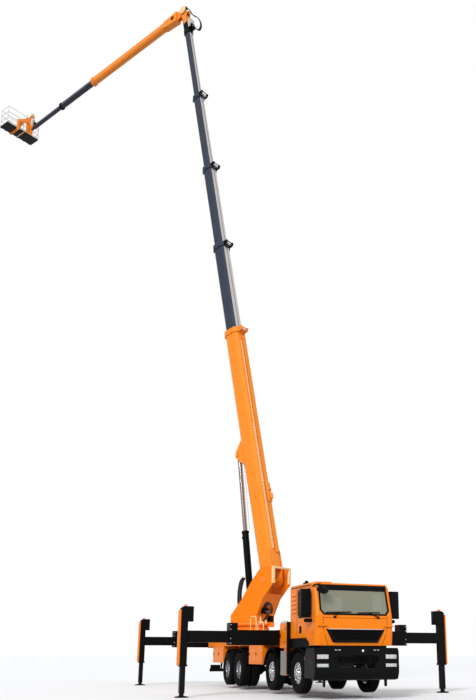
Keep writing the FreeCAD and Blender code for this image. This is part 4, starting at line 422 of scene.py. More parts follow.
FINISHES = {
    "orange_paint": ((0.90, 0.215, 0.003), 0.4, dict(coat=0.08, variation=0.03, scale=1.5, bump=0.03,
        dust=0.02, specular=0.14)),
    # A lighter copy of the orange paint: the boom's paint, and painted highlight where it stands for sunlit
    # orange on the basket's swing arm
    "boom_orange": ((0.93, 0.262, 0.006), 0.38, dict(coat=0.2, variation=0.04, scale=0.8, bump=0.03,
        streaks=0.05, specular=0.35)),
    "slate_paint": ((0.034, 0.042, 0.066), 0.42, dict(coat=0.10, variation=0.14, scale=2.2, bump=0.03,
        streaks=0.10, dust_colour=(0.14, 0.15, 0.18), specular=0.2)),
    # painted shade: a darker copy of the slate paint for the jib's sections, which face down into shade
    "shaded_jib_slate": ((0.010, 0.011, 0.024), 0.35, dict(coat=0.15, variation=0.10, scale=1.5, bump=0.03,
        specular=0.2)),
    # painted highlight: a pale lilac-grey band where light catches the jib's sections
    "painted_highlight_slate": ((0.14, 0.135, 0.215), 0.4, dict(bump=0.03)),
    "black_frame": ((0.003, 0.003, 0.0035), 0.6, dict(variation=0.15, bump=0.08, dust=0.012,
        specular=0.06)),
    "black_gloss": ((0.0025, 0.0025, 0.003), 0.42, dict(variation=0.12, bump=0.04, dust=0.008,
        specular=0.08)),
    "black_plastic": ((0.004, 0.004, 0.0045), 0.6, dict(variation=0.1, bump=0.25, bump_scale=420.0,
        dust=0.008, specular=0.07)),
    "charcoal": ((0.022, 0.021, 0.023), 0.6, dict(variation=0.25, scale=1.2, bump=0.1, dust=0.02,
        specular=0.1)),
    "engine_grey": ((0.10, 0.10, 0.11), 0.6, dict(metallic=0.4, variation=0.15, bump=0.5)),
    "tyre_rubber": ((0.005, 0.005, 0.0055), 0.85, dict(variation=0.15, bump=0.3, bump_scale=150.0,
        dust=0.02, specular=0.05)),
    "wheel_chrome": ((0.56, 0.57, 0.58), 0.12, dict(metallic=1.0, variation=0.05, bump=0.02)),
    "leg_steel": ((0.006, 0.006, 0.007), 0.45, dict(metallic=0.2, variation=0.15, bump=0.1, specular=0.1)),
    # painted reflection: the rod chrome's reddish tint stands for the red-orange reflected in the rod
    "rod_chrome": ((0.46, 0.38, 0.36), 0.16, dict(metallic=1.0, variation=0.03)),
    "rail_metal": ((0.74, 0.74, 0.73), 0.38, dict(metallic=0.35, variation=0.05, bump=0.1)),
    "pale_steel": ((0.6, 0.6, 0.58), 0.4, dict(metallic=0.5, bump=0.1)),
    "cab_trim": ((0.02, 0.02, 0.022), 0.65, dict(variation=0.1, bump=0.4, bump_scale=500.0, specular=0.3)),
    "tray_grey": ((0.60, 0.555, 0.525), 0.55, dict(variation=0.08, bump=0.08, streaks=0.08,
        dust_colour=(0.2, 0.19, 0.18))),
    "cream_paint": ((0.95, 0.62, 0.30), 0.4, dict(coat=0.3, variation=0.04, bump=0.04)),
    "beige_paint": ((0.56, 0.5, 0.43), 0.5, dict(bump=0.06, streaks=0.06, dust_colour=(0.3, 0.27, 0.24))),
    "hose_rubber": ((0.016, 0.016, 0.017), 0.5, dict(variation=0.12, bump=0.35, bump_scale=320.0)),
    "amber_lens": ((0.95, 0.22, 0.01), 0.18, dict(coat=0.7, variation=0.05, bump=0.5, bump_scale=260.0)),
    "red_lens": ((0.6, 0.012, 0.01), 0.18, dict(coat=0.7, variation=0.05, bump=0.5, bump_scale=260.0)),
    "beacon_lens": ((0.95, 0.12, 0.03), 0.2, dict(coat=0.6, variation=0.05, bump=0.4, bump_scale=240.0)),
    "white_lens": ((0.85, 0.87, 0.88), 0.12, dict(coat=0.8, variation=0.03, bump=0.5, bump_scale=180.0)),
    "mirror_face": ((0.8, 0.82, 0.84), 0.05, dict(metallic=1.0, variation=0.01)),
    "bare_plate": ((0.78, 0.78, 0.76), 0.4, dict(variation=0.03, bump=0.05)),
}
finishes = {name: surface(name, colour, rough, **more) for name, (colour, rough, more) in FINISHES.items()}
finishes["pane"] = clear_glass("pane", (0.255, 0.26, 0.175), 0.42)
finishes["lamp_glass"] = clear_glass("lamp_glass", (0.8, 0.84, 0.86), 0.7)
finishes["shield_mesh"] = pierced("shield_mesh", (0.24, 0.225, 0.21), 0.018)
finishes["step_grating"] = pierced("step_grating", (0.5, 0.5, 0.5), 0.03)

# The solids' finishes, by their node or else by their slot's name where it differs from the finish

# The jib's sections take the darker slate, which is painted shade.
NODE_FINISH = {"boom_base": "boom_orange", "jib_base": "boom_orange", "jib_section_2": "shaded_jib_slate",
    "jib_section_3": "shaded_jib_slate"}
SLOT_FINISH = {"cabinet_paint": "orange_paint", "black_beam": "black_gloss",
    "guard_plastic": "black_plastic", "bumper_plastic": "black_gloss", "cab_glass": "pane",
    "tyre": "tyre_rubber", "black_barrel": "black_gloss", "rail_aluminium": "rail_metal"}
for entry in frame["record"]["subparts"]:
    finish_name = SLOT_FINISH.get(entry["material_slot"], entry["material_slot"])
    finish_name = NODE_FINISH.get(entry["node"], finish_name)
    for material_slot in frame["nodes"][entry["node"]].material_slots:
        material_slot.material = finishes[finish_name]

# Pieces

def piece(name, part, matrix, finish, body, smooth=35.0):
    """Makes an object of a part given in a local frame, riding on a body, its faces turned outwards."""
    points, faces = moved(part, matrix)
    mesh = bpy.data.meshes.new(name)
    mesh.vertices.add(len(points))
    mesh.vertices.foreach_set("co", points.astype(np.float32).ravel())
    corners = np.concatenate([group.ravel() for group in faces]).astype(np.int32)
    counts = np.concatenate([np.full(len(group), group.shape[1]) for group in faces])
    starts = np.concatenate([[0], np.cumsum(counts)[:-1]]).astype(np.int32)
    mesh.loops.add(len(corners))
    mesh.loops.foreach_set("vertex_index", corners)
    mesh.polygons.add(len(counts))
    mesh.polygons.foreach_set("loop_start", starts)
    mesh.polygons.foreach_set("use_smooth", np.ones(len(counts), dtype=bool))
    mesh.update(calc_edges=True)
    mesh.validate()
    work = bmesh.new()
    work.from_mesh(mesh)
    bmesh.ops.recalc_face_normals(work, faces=work.faces)
    work.to_mesh(mesh)
    work.free()
    mesh.set_sharp_from_angle(angle=math.radians(smooth))
    mesh.materials.append(finishes[finish])
    item = bpy.data.objects.new(name, mesh)
    bpy.context.scene.collection.objects.link(item)
    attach(item, body)


def maker(matrix, body):
    """A function that makes a piece of one or more parts, in one frame and riding on one body."""
    def make(name, finish, *parts, smooth=35.0):
        piece(name, join(*parts), matrix, finish, body, smooth)
    return make


on_truck = maker(TRUCK, "truck")
on_turret = maker(TURRET, "turret")
on_base = maker(BOOM, "boom_base")
on_head = maker(BOOM, "boom_section_5")
on_jib = maker(JIB, "jib_base")
on_basket = maker(BASKET, "basket")

# Wheels

TREAD, GROOVE = 0.5535, 0.5475
TWIN_GAP = 0.344
NUT_CIRCLE, HAND_CIRCLE = 0.167, 0.226
HAND_TURN = math.degrees(0.314)


def tyre():
    """A tyre about its middle plane. Each ring's radius is the profile's, less the depth of a groove on
    every fourth step round the tread's lands."""
    count = 144
    half = np.array([(0.118, 0.296), (0.133, 0.306), (0.141, 0.345), (0.150, 0.395), (0.1525, 0.412),
        (0.1555, 0.418), (0.1555, 0.424), (0.1525, 0.430), (0.1525, 0.462), (0.147, 0.500), (0.140, 0.519),
        (0.1275, 0.540), (0.118, 0.5505), (0.082, 0.5530), (0.079, GROOVE), (0.069, GROOVE), (0.066, TREAD),
        (0.034, TREAD), (0.031, GROOVE), (0.020, GROOVE), (0.017, TREAD)])
    profile = np.concatenate([half, half[::-1] * [-1, 1]])
    ring = circle(count)
    radius = np.repeat(profile[:, 1][:, None], count, axis=1)
    sipe = (profile[:, 1] > 0.549)[:, None] & (np.arange(count) % 4 == 3)[None, :]
    radius = np.where(sipe, GROOVE, radius)
    x = np.repeat(profile[:, 0][:, None], count, axis=1)
    return ring_band(np.stack([x, radius * ring[:, 0], radius * ring[:, 1]], axis=2))


def round_the_wheel(part, radius, x, start=0.0):
    """A part ten times at equal angles on a circle in the wheel's plane."""
    return repeated(part, [beyond(turned(HERE, "x", start + 36 * k), x, radius) for k in range(10)])


def hub_cap(base, top, radius, room):
    """A hollow domed cap from the disc to a little past the spindle's end."""
    return lathe([(top - 0.016, 0), (top - 0.016, room), (base, room), (base, radius + 0.01),
        (base + 0.012, radius), (top - 0.024, radius - 0.004), (top - 0.006, radius * 0.8),
        (top + 0.002, radius * 0.45), (top + 0.004, 0)], 48)


def wheel_faces():
    nut = lathe([(0, 0.0185), (0.005, 0.0185), (0.006, 0.0150), (0.026, 0.0150), (0.030, 0.010),
        (0.030, 0)], 6)
    stud = lathe([(0.028, 0.008), (0.040, 0.008), (0.041, 0)], 10)
    # painted shade: thin black ovals stand in for the shade inside the wheel's hand holes
    hole = scaled(lathe([(0, 0.028), (0.0022, 0.0265), (0.0024, 0)], 24), (1, 0.85, 1.25))
    lip = scaled(ring_lathe(circle(10, 0.005) + [0.001, 0.031], 24), (1, 0.85, 1.2))
    twin_face = ring_lathe([(0.108, 0.286), (0.112, 0.281), (0.110, 0.273), (0.098, 0.2705),
        (-0.060, 0.2700), (-0.074, 0.262), (-0.081, 0.240), (-0.081, 0.150), (-0.076, 0.118),
        (-0.087, 0.112), (-0.0875, 0.2735), (0.100, 0.2735), (0.106, 0.279), (0.106, 0.290)], 72)
    face = ring_lathe([(0.106, 0.290), (0.112, 0.286), (0.115, 0.278), (0.108, 0.270), (0.101, 0.262),
        (0.106, 0.250), (0.107, 0.150), (0.114, 0.122), (0.113, 0.098), (0.0985, 0.098), (0.0985, 0.276),
        (0.104, 0.280)], 72)
    twin = (twin_face, hub_cap(-0.087, 0.082, 0.108, 0.0975), -0.081, [(0, 0, 0), (-TWIN_GAP, 0, 0)])
    single = (face, hub_cap(0.1095, 0.168, 0.100, 0.0925), 0.107, [(0, 0, 0)])
    for name, joint in joints.items():
        if not name.startswith("spin_"):
            continue
        axle = name[5:]
        sign = 1 if name.endswith("left") else -1
        wheel = maker(place(joint["pos_m"], (sign, 0, 0), (0, sign, 0)), f"wheel_{axle}")
        disc, cap, x, middles = twin if axle[0] in "34" else single
        wheel(f"tread_wheel_{axle}", "tyre_rubber", at_points(tyre(), middles), smooth=28.0)
        wheel(f"disc_wheel_{axle}", "wheel_chrome", disc)
        wheel(f"cap_wheel_{axle}", "wheel_chrome", cap)
        wheel(f"nuts_wheel_{axle}", "wheel_chrome", round_the_wheel(join(nut, stud), NUT_CIRCLE, x),
            smooth=25.0)
        # painted shade: black ovals in the hand holes
        wheel(f"holes_wheel_{axle}", "black_plastic", round_the_wheel(hole, HAND_CIRCLE, x, HAND_TURN))
        wheel(f"lips_wheel_{axle}", "wheel_chrome", round_the_wheel(lip, HAND_CIRCLE, x, HAND_TURN))


# Cab

NOSE, WAIST = -1.385, 2.17
SCREEN = [(-0.92, 2.215), (0.92, 2.215), (1.01, 2.325), (1.0, 2.985), (-1.0, 2.985), (-1.01, 2.325)]
DOOR_WINDOW = [(-1.010, 2.175), (-0.135, 2.175), (-0.075, 2.245), (-0.075, 2.880), (-0.920, 2.880),
    (-1.010, 2.690)]


def nose_y(z):
    """The y of the cab's front skin at a height: upright above the chin, leaning back above the waist."""
    z = np.asarray(z, float)
    chin = NOSE + 0.045 * np.clip((1.722 - z) / 0.33, 0, 1)
    return chin + 0.238 * np.clip(z - WAIST, 0, None)


def off_nose(x, z, off):
    """Points that stand off the cab's front skin by a distance."""
    return np.stack([x, nose_y(z) - off, z], axis=-1)


def nose_band(*loops):
    """A closed band on the cab's front, through outlines in x and z at their distances off the skin."""
    return ring_band([off_nose(shape[:, 0], shape[:, 1], off) for shape, off in loops])


def cab_front():
    outer, inner = drawn_in(SCREEN, -0.028), drawn_in(SCREEN, 0.018)
    seal = nose_band((outer, 0.0005), (outer, 0.007), (inner, 0.007), (inner, -0.008))
    on_truck("screen_seal", "black_gloss", seal, smooth=20.0)
    points, faces = prism([(-0.975, 2.86), (0.975, 2.86), (0.985, 2.96), (-0.985, 2.96)], 0.004, 0.011)
    on_truck("sun_band", "black_plastic", (points + nose_y(points[:, 2])[:, None] * [0, 1, 0], faces))
    hub = lathe([(0, 0.034), (0.02, 0.034), (0.034, 0.024), (0.036, 0)], 20)
    wipers = []
    for foot, middle, half in ((-0.62, -0.50, 0.38), (0.68, 0.40, 0.34)):
        wipers += [aimed(hub, off_nose(foot, 2.135, 0.006), *FORWARD),
            bar(off_nose(foot, 2.135, 0.032), off_nose(middle, 2.262, 0.034), 0.012, 10),
            bar(off_nose(middle - half, 2.250, 0.020), off_nose(middle + half, 2.275, 0.020), 0.013, 8)]
    on_truck("wipers", "black_plastic", *wipers)
    seam = off_nose(np.array([0.957, 0.952, 0.945, 0.885, 0.80]), np.array([2.19, 1.95, 1.80, 1.62, 1.40]),
        0.0005)
    edge = off_nose(np.array([-0.955, 0.955]), np.array([2.115, 2.115]), 0.0005)
    on_truck("front_seams", "black_plastic", both_sides(carried(circle(8, 0.0055), seam)),
        carried(circle(8, 0.0045), edge))
    fin = block((0.86, NOSE - 0.052, 1.885), (1.13, NOSE + 0.01, 1.935), 0.018, 4)
    on_truck("corner_fins", "orange_paint", both_sides(fin))
    rim = drawn_in([(-0.65, 1.49), (0.65, 1.49), (0.835, 1.795), (-0.835, 1.795)], -0.022)
    hole = drawn_in(rim, 0.034)
    band = nose_band((rim, 0.0005), (rim, 0.008), (drawn_in(rim, 0.008), 0.016),
        (drawn_in(hole, -0.006), 0.016), (hole, 0.006), (hole, -0.004))
    on_truck("grille_rim", "black_gloss", band, smooth=20.0)
    on_truck("grille_strip", "beige_paint", block((-0.80, NOSE - 0.022, 1.806), (0.80, NOSE + 0.004, 1.828),
        0.009, 4))
    ribs = [block((x - 0.006, NOSE - 0.004, 1.52), (x + 0.006, NOSE + 0.016, 1.775), 0.003)
        for x in np.linspace(-0.55, 0.55, 9)]
    on_truck("grille_ribs", "black_plastic", *ribs)


def bumper_details():
    bowl = lathe([(0, 0.020), (0.012, 0.040), (0.022, 0.050), (0.026, 0.053), (0.026, 0)], 28)
    lens = lathe([(0, 0.034), (0.008, 0.031), (0.015, 0.020), (0.018, 0)], 28)
    covers, shells = [], []
    for low, high in ((1.044, 1.162), (0.834, 0.926)):
        covers.append(block((0.840, -1.4765, low + 0.003), (1.169, -1.4705, high - 0.003), 0.003))
        shells.append(block((0.842, -1.447, low + 0.004), (1.168, -1.440, high - 0.004), 0.003))
    lamps_x, lamp_z = (0.905, 1.02), 1.103
    shells += [aimed(bowl, (x, -1.444, lamp_z), *FORWARD) for x in lamps_x]
    bulbs = [aimed(lens, (x, -1.452, lamp_z), *FORWARD) for x in lamps_x]
    bulbs += [block((x - 0.013, -1.464, 0.862), (x + 0.013, -1.446, 0.898), 0.005)
        for x in np.linspace(0.87, 1.05, 6)]
    ambers = [block((1.095, -1.466, 1.06), (1.155, -1.446, 1.146), 0.008),
        block((1.095, -1.464, 0.852), (1.155, -1.446, 0.908), 0.008)]
    ribs = [bar((0.74, -1.474, 1.235), (0.56, -1.474, 0.83), 0.012, 10)]
    ribs += [bar((0.80, -1.476, z), (1.22, -1.476, z), 0.009, 10) for z in (1.005, 1.195)]
    grips = [block((x - 0.035, -1.470, 1.262), (x + 0.035, -1.440, 1.286), 0.008) for x in (0.52, 0.62)]
    grips += [block((1.06, y - 0.06, z), (1.235, y + 0.13, z + 0.007), 0.003)
        for z, y in ((1.121, -1.0), (0.739, -0.94))]
    for name, finish, parts in (("lamp_shells", "wheel_chrome", shells),
            ("lamp_bulbs", "white_lens", bulbs), ("lamp_ambers", "amber_lens", ambers),
            ("lamp_covers", "lamp_glass", covers), ("bumper_ribs", "black_plastic", ribs),
            ("bumper_grips", "pale_steel", grips)):
        on_truck(name, finish, both_sides(*parts))
    on_truck("nose_backing", "black_plastic", block((-0.95, -1.325, 1.16), (0.95, -1.312, 1.43), 0.004))
    eye = lathe([(0, 0.03), (0.012, 0.03), (0.018, 0.02), (0.019, 0)], 20)
    on_truck("nose_lamp", "white_lens", aimed(eye, (0.16, -1.470, 1.255), *FORWARD))


def cab_sides():
    slats = []
    for low in 2.30 + 0.118 * np.arange(5):
        slats.append(prism([(1.146, low), (1.182, low), (1.179, low + 0.012), (1.146, low + 0.085)], 0.09,
            0.42, 0.003))
    on_truck("cab_louvres", "orange_paint", both_sides(*slats))
    trim = [bar((1.153, -1.02, 3.0), (1.153, 0.50, 3.0), 0.011, 10),
        bar((1.151, 0.035, 1.66), (1.151, 0.035, 2.98), 0.005, 8)]
    on_truck("cab_side_trim", "black_plastic", both_sides(*trim))
    on_truck("side_markers", "amber_lens",
        both_sides(block((1.176, -0.665, 1.02), (1.190, -0.615, 1.09), 0.006)))
    horn = lathe([(0, 0.018), (0.16, 0.022), (0.21, 0.045), (0.24, 0.062), (0.243, 0.056), (0.2, 0.02),
        (0.199, 0)], 24)
    on_truck("roof_horn", "black_gloss", aimed(horn, (-0.93, 0.10, 3.135), *FORWARD),
        bar((-0.93, 0.04, 3.055), (-0.93, 0.04, 3.125), 0.014),
        bar((-0.93, -0.06, 3.055), (-0.93, -0.06, 3.12), 0.014))
    mirror = lathe([(-0.05, 0), (-0.05, 0.07), (-0.03, 0.13), (0.0, 0.165), (0.020, 0.160), (0.026, 0.135),
        (0.026, 0)], 36)
    arms = [hose([(-1.12, -1.04, 2.93), (-1.14, -1.20, 2.98), (-1.10, -1.40, 2.98), (-1.02, -1.50, 2.90)],
        0.024, 12), hose([(-0.96, -1.09, 3.02), (-1.00, -1.28, 3.02), (-1.03, -1.44, 2.96)], 0.016, 10)]
    head = aimed(mirror, (-1.02, -1.52, 2.83), (-0.35, 0.62, -0.70), (1, 0, 0))
    on_truck("kerb_mirror", "black_gloss", *arms, head)


def door_details():
    window = side_plate(drawn_in(DOOR_WINDOW, -0.008), 1.118, 1.124)
    seal = [frame_round(DOOR_WINDOW, 1.1495, 0.075, 0.010),
        block((1.112, -0.80, 2.18), (1.152, -0.765, 2.878), 0.006)]
    handle = [block((1.148, -0.305, 1.725), (1.158, -0.150, 1.925), 0.006),
        block((1.154, -0.285, 1.75), (1.176, -0.245, 1.90), 0.010),
        block((1.145, -1.120, 2.000), (1.36, -0.965, 2.100), 0.045, 6)]
    mirrors = [block((1.222, -0.992, low), (1.438, -0.980, high), 0.004)
        for low, high in ((2.42, 2.84), (2.16, 2.35))]
    shell = [block((1.202, -1.128, 2.125), (1.474, -0.988, 2.880), 0.008),
        block((1.230, -1.131, 2.372), (1.479, -0.984, 2.398), 0.010)]
    shell += [hose([(1.196, -1.065, z), (1.25, -1.065, z), (1.33, -1.065, z)], 0.0195, 12)
        for z in (2.17, 2.77)]
    lines = [bar((1.152, -1.0, 1.555), (1.152, -0.55, 1.845), 0.004, 6),
        bar((1.151, -1.06, 2.03), (1.151, -0.02, 2.03), 0.006, 8)]
    for side, sign in SIDES:
        for name, finish, parts in (("window", "pane", [window]), ("window_seal", "black_gloss", seal),
                ("door_handle", "black_plastic", handle), ("mirror_faces", "mirror_face", mirrors),
                ("mirror_shell", "black_gloss", shell), ("door_lines", "orange_paint", lines)):
            piece(f"{name}_{side}", on_side(join(*parts), sign), TRUCK, finish, f"door_{side}")


# Truck bed

def locker_fittings():
    latches, hinges = [], []
    for front, end, top in ((2.960, 4.350, 1.44), (7.430, 8.880, 1.53)):
        half = (front + end) / 2
        for low, high in ((front, half), (half, end)):
            hinges += [block((1.186, low + 0.035, z - 0.035), (1.204, low + 0.062, z + 0.035), 0.007)
                for z in (1.02, top - 0.17)]
            latches += [block((1.186, high - 0.11, 1.12), (1.194, high - 0.05, 1.21), 0.004),
                block((1.190, high - 0.092, 1.135), (1.204, high - 0.068, 1.195), 0.006)]
    lens = lathe([(0, 0.034), (0.006, 0.034), (0.010, 0.028), (0.011, 0)], 20)
    on_truck("locker_latches", "black_plastic", both_sides(*latches))
    on_truck("locker_hinges", "pale_steel", both_sides(*hinges))
    on_truck("side_reflectors", "amber_lens",
        both_sides(at_points(lens, [(1.180, y, 1.62) for y in (2.6, 4.8, 6.2, 9.3)])))


def cabinet_fittings():
    cap = upright(lathe([(0, 0.026), (0.030, 0.026), (0.036, 0.020), (0.037, 0)], 18))
    on_truck("cabinet_top", "pale_steel", block((-1.256, 0.625, 2.038), (-1.160, 1.110, 2.072), 0.008),
        at_points(cap, [(-1.208, y, 2.070) for y in (0.70, 0.80, 0.95, 1.04)]))
    hinges = [block((-1.286, 0.655, z - 0.03), (-1.270, 0.685, z + 0.03), 0.006) for z in (1.50, 1.88)]
    on_truck("cabinet_trim", "black_plastic", block((-1.256, 0.520, 0.60), (-1.160, 0.594, 2.07), 0.012),
        *hinges, block((-1.284, 1.03, 1.62), (-1.270, 1.065, 1.74), 0.006))
    on_truck("shield_sheet", "shield_mesh", side_plate(rectangle(0.640, 1.104, 0.581, 1.251), -1.2462,
        -1.2424, 0.001))


def deck_fittings():
    """Grating on the deck and round handrails bent at their corners."""
    half, deck, thick, inside = 1.10, 1.8705, 0.004, 0.0015
    plates = [flat_plate(rectangle(-half, half, low, high), deck, deck + thick, 0.001)
        for low, high in ((1.64, 3.0), (3.03, 4.4), (4.43, 5.9), (8.6, 9.55))]
    on_truck("deck_grating", "step_grating", *plates)
    hoops = []
    for low, high, top in ((3.95, 4.55, 2.38), (3.20, 3.75, 2.18)):
        path = [(low, deck + inside), (low, top - 0.12), (low + 0.06, top - 0.02), (low + 0.16, top),
            (high - 0.16, top), (high - 0.06, top - 0.02), (high, top - 0.12), (high, deck + inside)]
        hoops.append(hose([(1.08, y, z) for y, z in path], 0.016, 12, 4))
    on_truck("deck_hoops", "cream_paint", both_sides(*hoops))


def tail_fittings():
    end = 10.460
    for name, finish, low, high in (("tail_reds", "red_lens", 0.69, 0.845),
            ("tail_ambers", "amber_lens", 0.59, 0.685), ("tail_whites", "white_lens", 0.49, 0.585)):
        on_truck(name, finish,
            both_sides(block((low, end - 0.004, 0.612), (high, end + 0.012, 0.724), 0.008)))
    on_truck("tail_plate", "bare_plate", block((-0.26, 10.428, 0.492), (0.26, 10.434, 0.596), 0.003))
    cap = lathe([(0, 0.055), (0.03, 0.055), (0.036, 0.05), (0.045, 0.046), (0.046, 0)], 24)
    on_truck("filler_cap", "black_plastic", aimed(cap, (1.145, 1.33, 1.02)))


def outrigger_fittings():
    lane, post_low, post_high = -0.1725, 0.860, 2.400
    dome = lathe([(0, 0.036), (0.012, 0.036), (0.040, 0.034), (0.055, 0.024), (0.060, 0)], 24)
    bolt = lathe([(0, 0.014), (0.0015, 0.014), (0.0025, 0.010), (0.003, 0)], 10)
    foot = lathe([(0.0005, 0), (0.0005, 0.188), (0.004, 0.1925), (0.022, 0.1925), (0.029, 0.184),
        (0.034, 0.122), (0.0435, 0.1165), (0.045, 0)], 48)
    for where, box_y, reach1, reach2 in (("front", 1.150, 2.780, 4.080), ("rear", 10.050, 2.480, 3.680)):
        face = reach2 + 0.134
        guard = [block((face - 0.002, lane - 0.120, post_low + 0.008),
            (face + 0.0145, lane + 0.120, post_high - 0.018), 0.006)]
        guard += [block((face - 0.024, lane + s - 0.004, post_low + 0.010),
            (face + 0.010, lane + s + 0.004, post_high - 0.020), 0.003) for s in (-0.1185, 0.1185)]
        holders = [block((reach2 + 0.096, lane - 0.063, z - 0.002),
            (face - 0.0245, lane + 0.063, z + 0.042), 0.004)
            for z in np.linspace(post_low + 0.160, post_high - 0.180, 3)]
        head = block((reach2 - 0.252, lane - 0.106, 2.062), (reach2 - 0.090, lane + 0.106, 2.489), 0.014)
        domes = [upright(dome, (reach2 - 0.03, lane + s, 2.488)) for s in (-0.045, 0.045)]
        bolts = [at_points(moved(bolt, turned(HERE, "z", turn)),
            [(reach1 - 0.035, y, z) for z in (1.47, 1.60, 1.86, 1.99)])
            for y, turn in ((lane + 0.160, 90), (lane - 0.160, -90))]
        for side, sign in SIDES:
            corner = f"{where}_{side}"
            spot = turned(beyond(TRUCK, y=box_y), "z", 0 if sign > 0 else 180)
            jack = maker(spot, f"jack_{corner}")
            jack(f"guard_skin_{corner}", "orange_paint", *guard)
            jack(f"guard_holders_{corner}", "pale_steel", *holders)
            jack(f"post_head_{corner}", "black_gloss", head)
            jack(f"beacons_{corner}", "beacon_lens", *domes)
            piece(f"collar_bolts_{corner}", join(*bolts), spot, "pale_steel", f"beam_{corner}", smooth=25.0)
            piece(f"foot_skin_{corner}", upright(foot, (reach2, lane, 0)), spot, "black_gloss",
                f"leg_{corner}")


# Turret

def turret_fittings():
    rims = [block((-1.434, -0.531, 4.254), (-1.346, 0.531, 4.328), 0.014)]
    edges = []
    for sign in (1, -1):
        low, high = sorted((sign * 0.409, sign * 0.531))
        rims.append(block((-1.434, low, 3.705), (-1.348, high, 4.262), 0.014))
        y = sign * 0.508
        edges += [bar((-1.40, y, 3.70), (-0.918, y, 3.175), 0.022, 12),
            bar((-0.918, y, 3.175), (-0.640, y, 2.60), 0.022, 12)]
    on_turret("turret_edges", "orange_paint", *edges)
    rims += [prism([(-0.598, 2.257), (-0.739, 2.257), (-0.652, 2.534), (-0.598, 2.534)], y - 0.015,
        y + 0.015, 0.004) for y in (-0.3, 0.0, 0.3)]
    on_turret("turret_rim", "cream_paint", *rims)
    hoses = []
    for k in range(4):
        out = 0.05 * (k % 2)
        for sign in (1, -1):
            y = sign * (0.345 + 0.035 * k)
            hoses.append(hose([(0.12, y, 3.98), (0.20 + out, y, 3.86), (0.27 + out, y, 3.62),
                (0.30 + out, y, 3.36), (0.29 + out, y, 3.06), (0.27, y, 2.80), (0.24, y, 2.60)], 0.034, 12))
    for k in range(4):
        y = 0.14 + 0.05 * k
        hoses.append(hose([(-0.78, y, 2.83), (-0.84, y - 0.02, 2.93 + 0.02 * k),
            (-0.90, y - 0.16, 2.97 + 0.02 * k), (-0.86, -0.06 - 0.03 * k, 2.84),
            (-0.78, -0.12 - 0.03 * k, 2.62)], 0.019, 10))
    for k in range(3):
        hoses.append(hose([(-0.865, 0.16 + 0.06 * k, 2.70), (-0.95, 0.16 + 0.06 * k, 2.64),
            (-0.90, 0.20 + 0.05 * k, 2.48), (-0.74, 0.24 + 0.04 * k, 2.34)], 0.016, 10))
    on_turret("turret_hoses", "hose_rubber", *hoses)
    drive = lathe([(0, 0), (0, 0.108), (0.20, 0.108), (0.215, 0.122), (0.25, 0.122), (0.262, 0.095),
        (0.335, 0.092), (0.345, 0.080), (0.346, 0)], 40)
    spool = lathe([(0, 0.022), (0.07, 0.022), (0.075, 0.017), (0.10, 0.015), (0.101, 0)], 18)
    end = lathe([(0, 0.018), (0.03, 0.018), (0.035, 0.013), (0.05, 0.012), (0.051, 0)], 6)
    on_turret("turret_valves", "black_gloss", upright(drive, (-0.76, -0.16, 2.29)),
        block((-0.874, 0.116, 2.616), (-0.696, 0.334, 2.844), 0.012),
        *[aimed(spool, (-0.87, 0.15 + 0.05 * k, 2.78), (-1, 0, 0)) for k in range(4)])
    on_turret("hose_ends", "wheel_chrome", *[aimed(end, (-0.872, 0.16 + 0.06 * k, 2.70), (-1, 0, 0))
        for k in range(3)], smooth=25.0)
    ring_radius, ring_z = 0.705, 2.26
    stud = upright(lathe([(0, 0.017), (0.0084, 0.017), (0.014, 0.0102), (0.0154, 0)], 8))
    pin = lathe([(0, 0.013), (0.007, 0.013), (0.010, 0.008), (0.011, 0)], 6)
    pins = [aimed(pin, (-0.95 + x, sign * 0.538, 3.85 + z), (0, sign, 0), (1, 0, 0)) for sign in (1, -1)
        for x, z in circle(6, 0.085)]
    on_turret("turret_bolts", "pale_steel",
        at_points(stud, [(x, y, ring_z) for x, y in circle(30, ring_radius)]), *pins, smooth=25.0)


def cylinder_fittings():
    span = 6.149
    pipes = [bar((2.98, y, 0.170), (span - 0.30, y * 0.8, 0.170), 0.011, 10) for y in (-0.065, 0.065)]
    pipes.append(block((span - 0.34, -0.084, 0.085), (span - 0.27, 0.084, 0.186), 0.01))
    piece("rod_pipes", join(*pipes), LUFF, "pale_steel", "luff_rod")
    on_barrel = maker(LUFF, "luff_barrel")
    sleeve = ring_lathe([(0.232, 0.129), (0.236, 0.131), (2.885, 0.131), (2.887, 0.144), (2.892, 0.147),
        (2.975, 0.147), (2.981, 0.143), (2.982, 0.086), (2.976, 0.0855), (2.86, 0.120), (0.26, 0.120),
        (0.232, 0.125)], 56)
    on_barrel("barrel_skin", "black_gloss", sleeve)
    ports = [block((x - 0.05, -0.045, -0.172), (x + 0.05, 0.045, -0.120), 0.008) for x in (0.42, 2.74)]
    bolt = lathe([(0, 0.011), (0.008, 0.011), (0.012, 0.007), (0.013, 0)], 6)
    on_barrel("barrel_ports", "leg_steel", *ports, bar((0.46, 0.0, -0.158), (2.70, 0.0, -0.158), 0.013, 10),
        at_points(bolt, [(2.980, y, z) for y, z in circle(12, 0.118)]))


# Boom

BASE_END, SECTION_STEP = 10.93, 4.485
TRAY_BACK, TRAY_FRONT = 9.475, 0.236


def section(k):
    """Half width, half height and end of a boom section, counted from the base, which is 0."""
    end = BASE_END + SECTION_STEP * k
    if k == 0:
        return 0.31, 0.35, end
    return (0.54 - 0.074 * (k - 1)) / 2, (0.57 - 0.08 * (k - 1)) / 2, end


def hull_outline(half, rise):
    """The boom section's outline in y and z: bevelled above, drawn in like a keel below."""
    return np.array([(half * 0.66, rise), (-half * 0.66, rise), (-half, rise - half * 0.34),
        (-half, -rise * 0.6), (-half * 0.6, -rise), (half * 0.6, -rise), (half, -rise * 0.6),
        (half, rise - half * 0.34)])


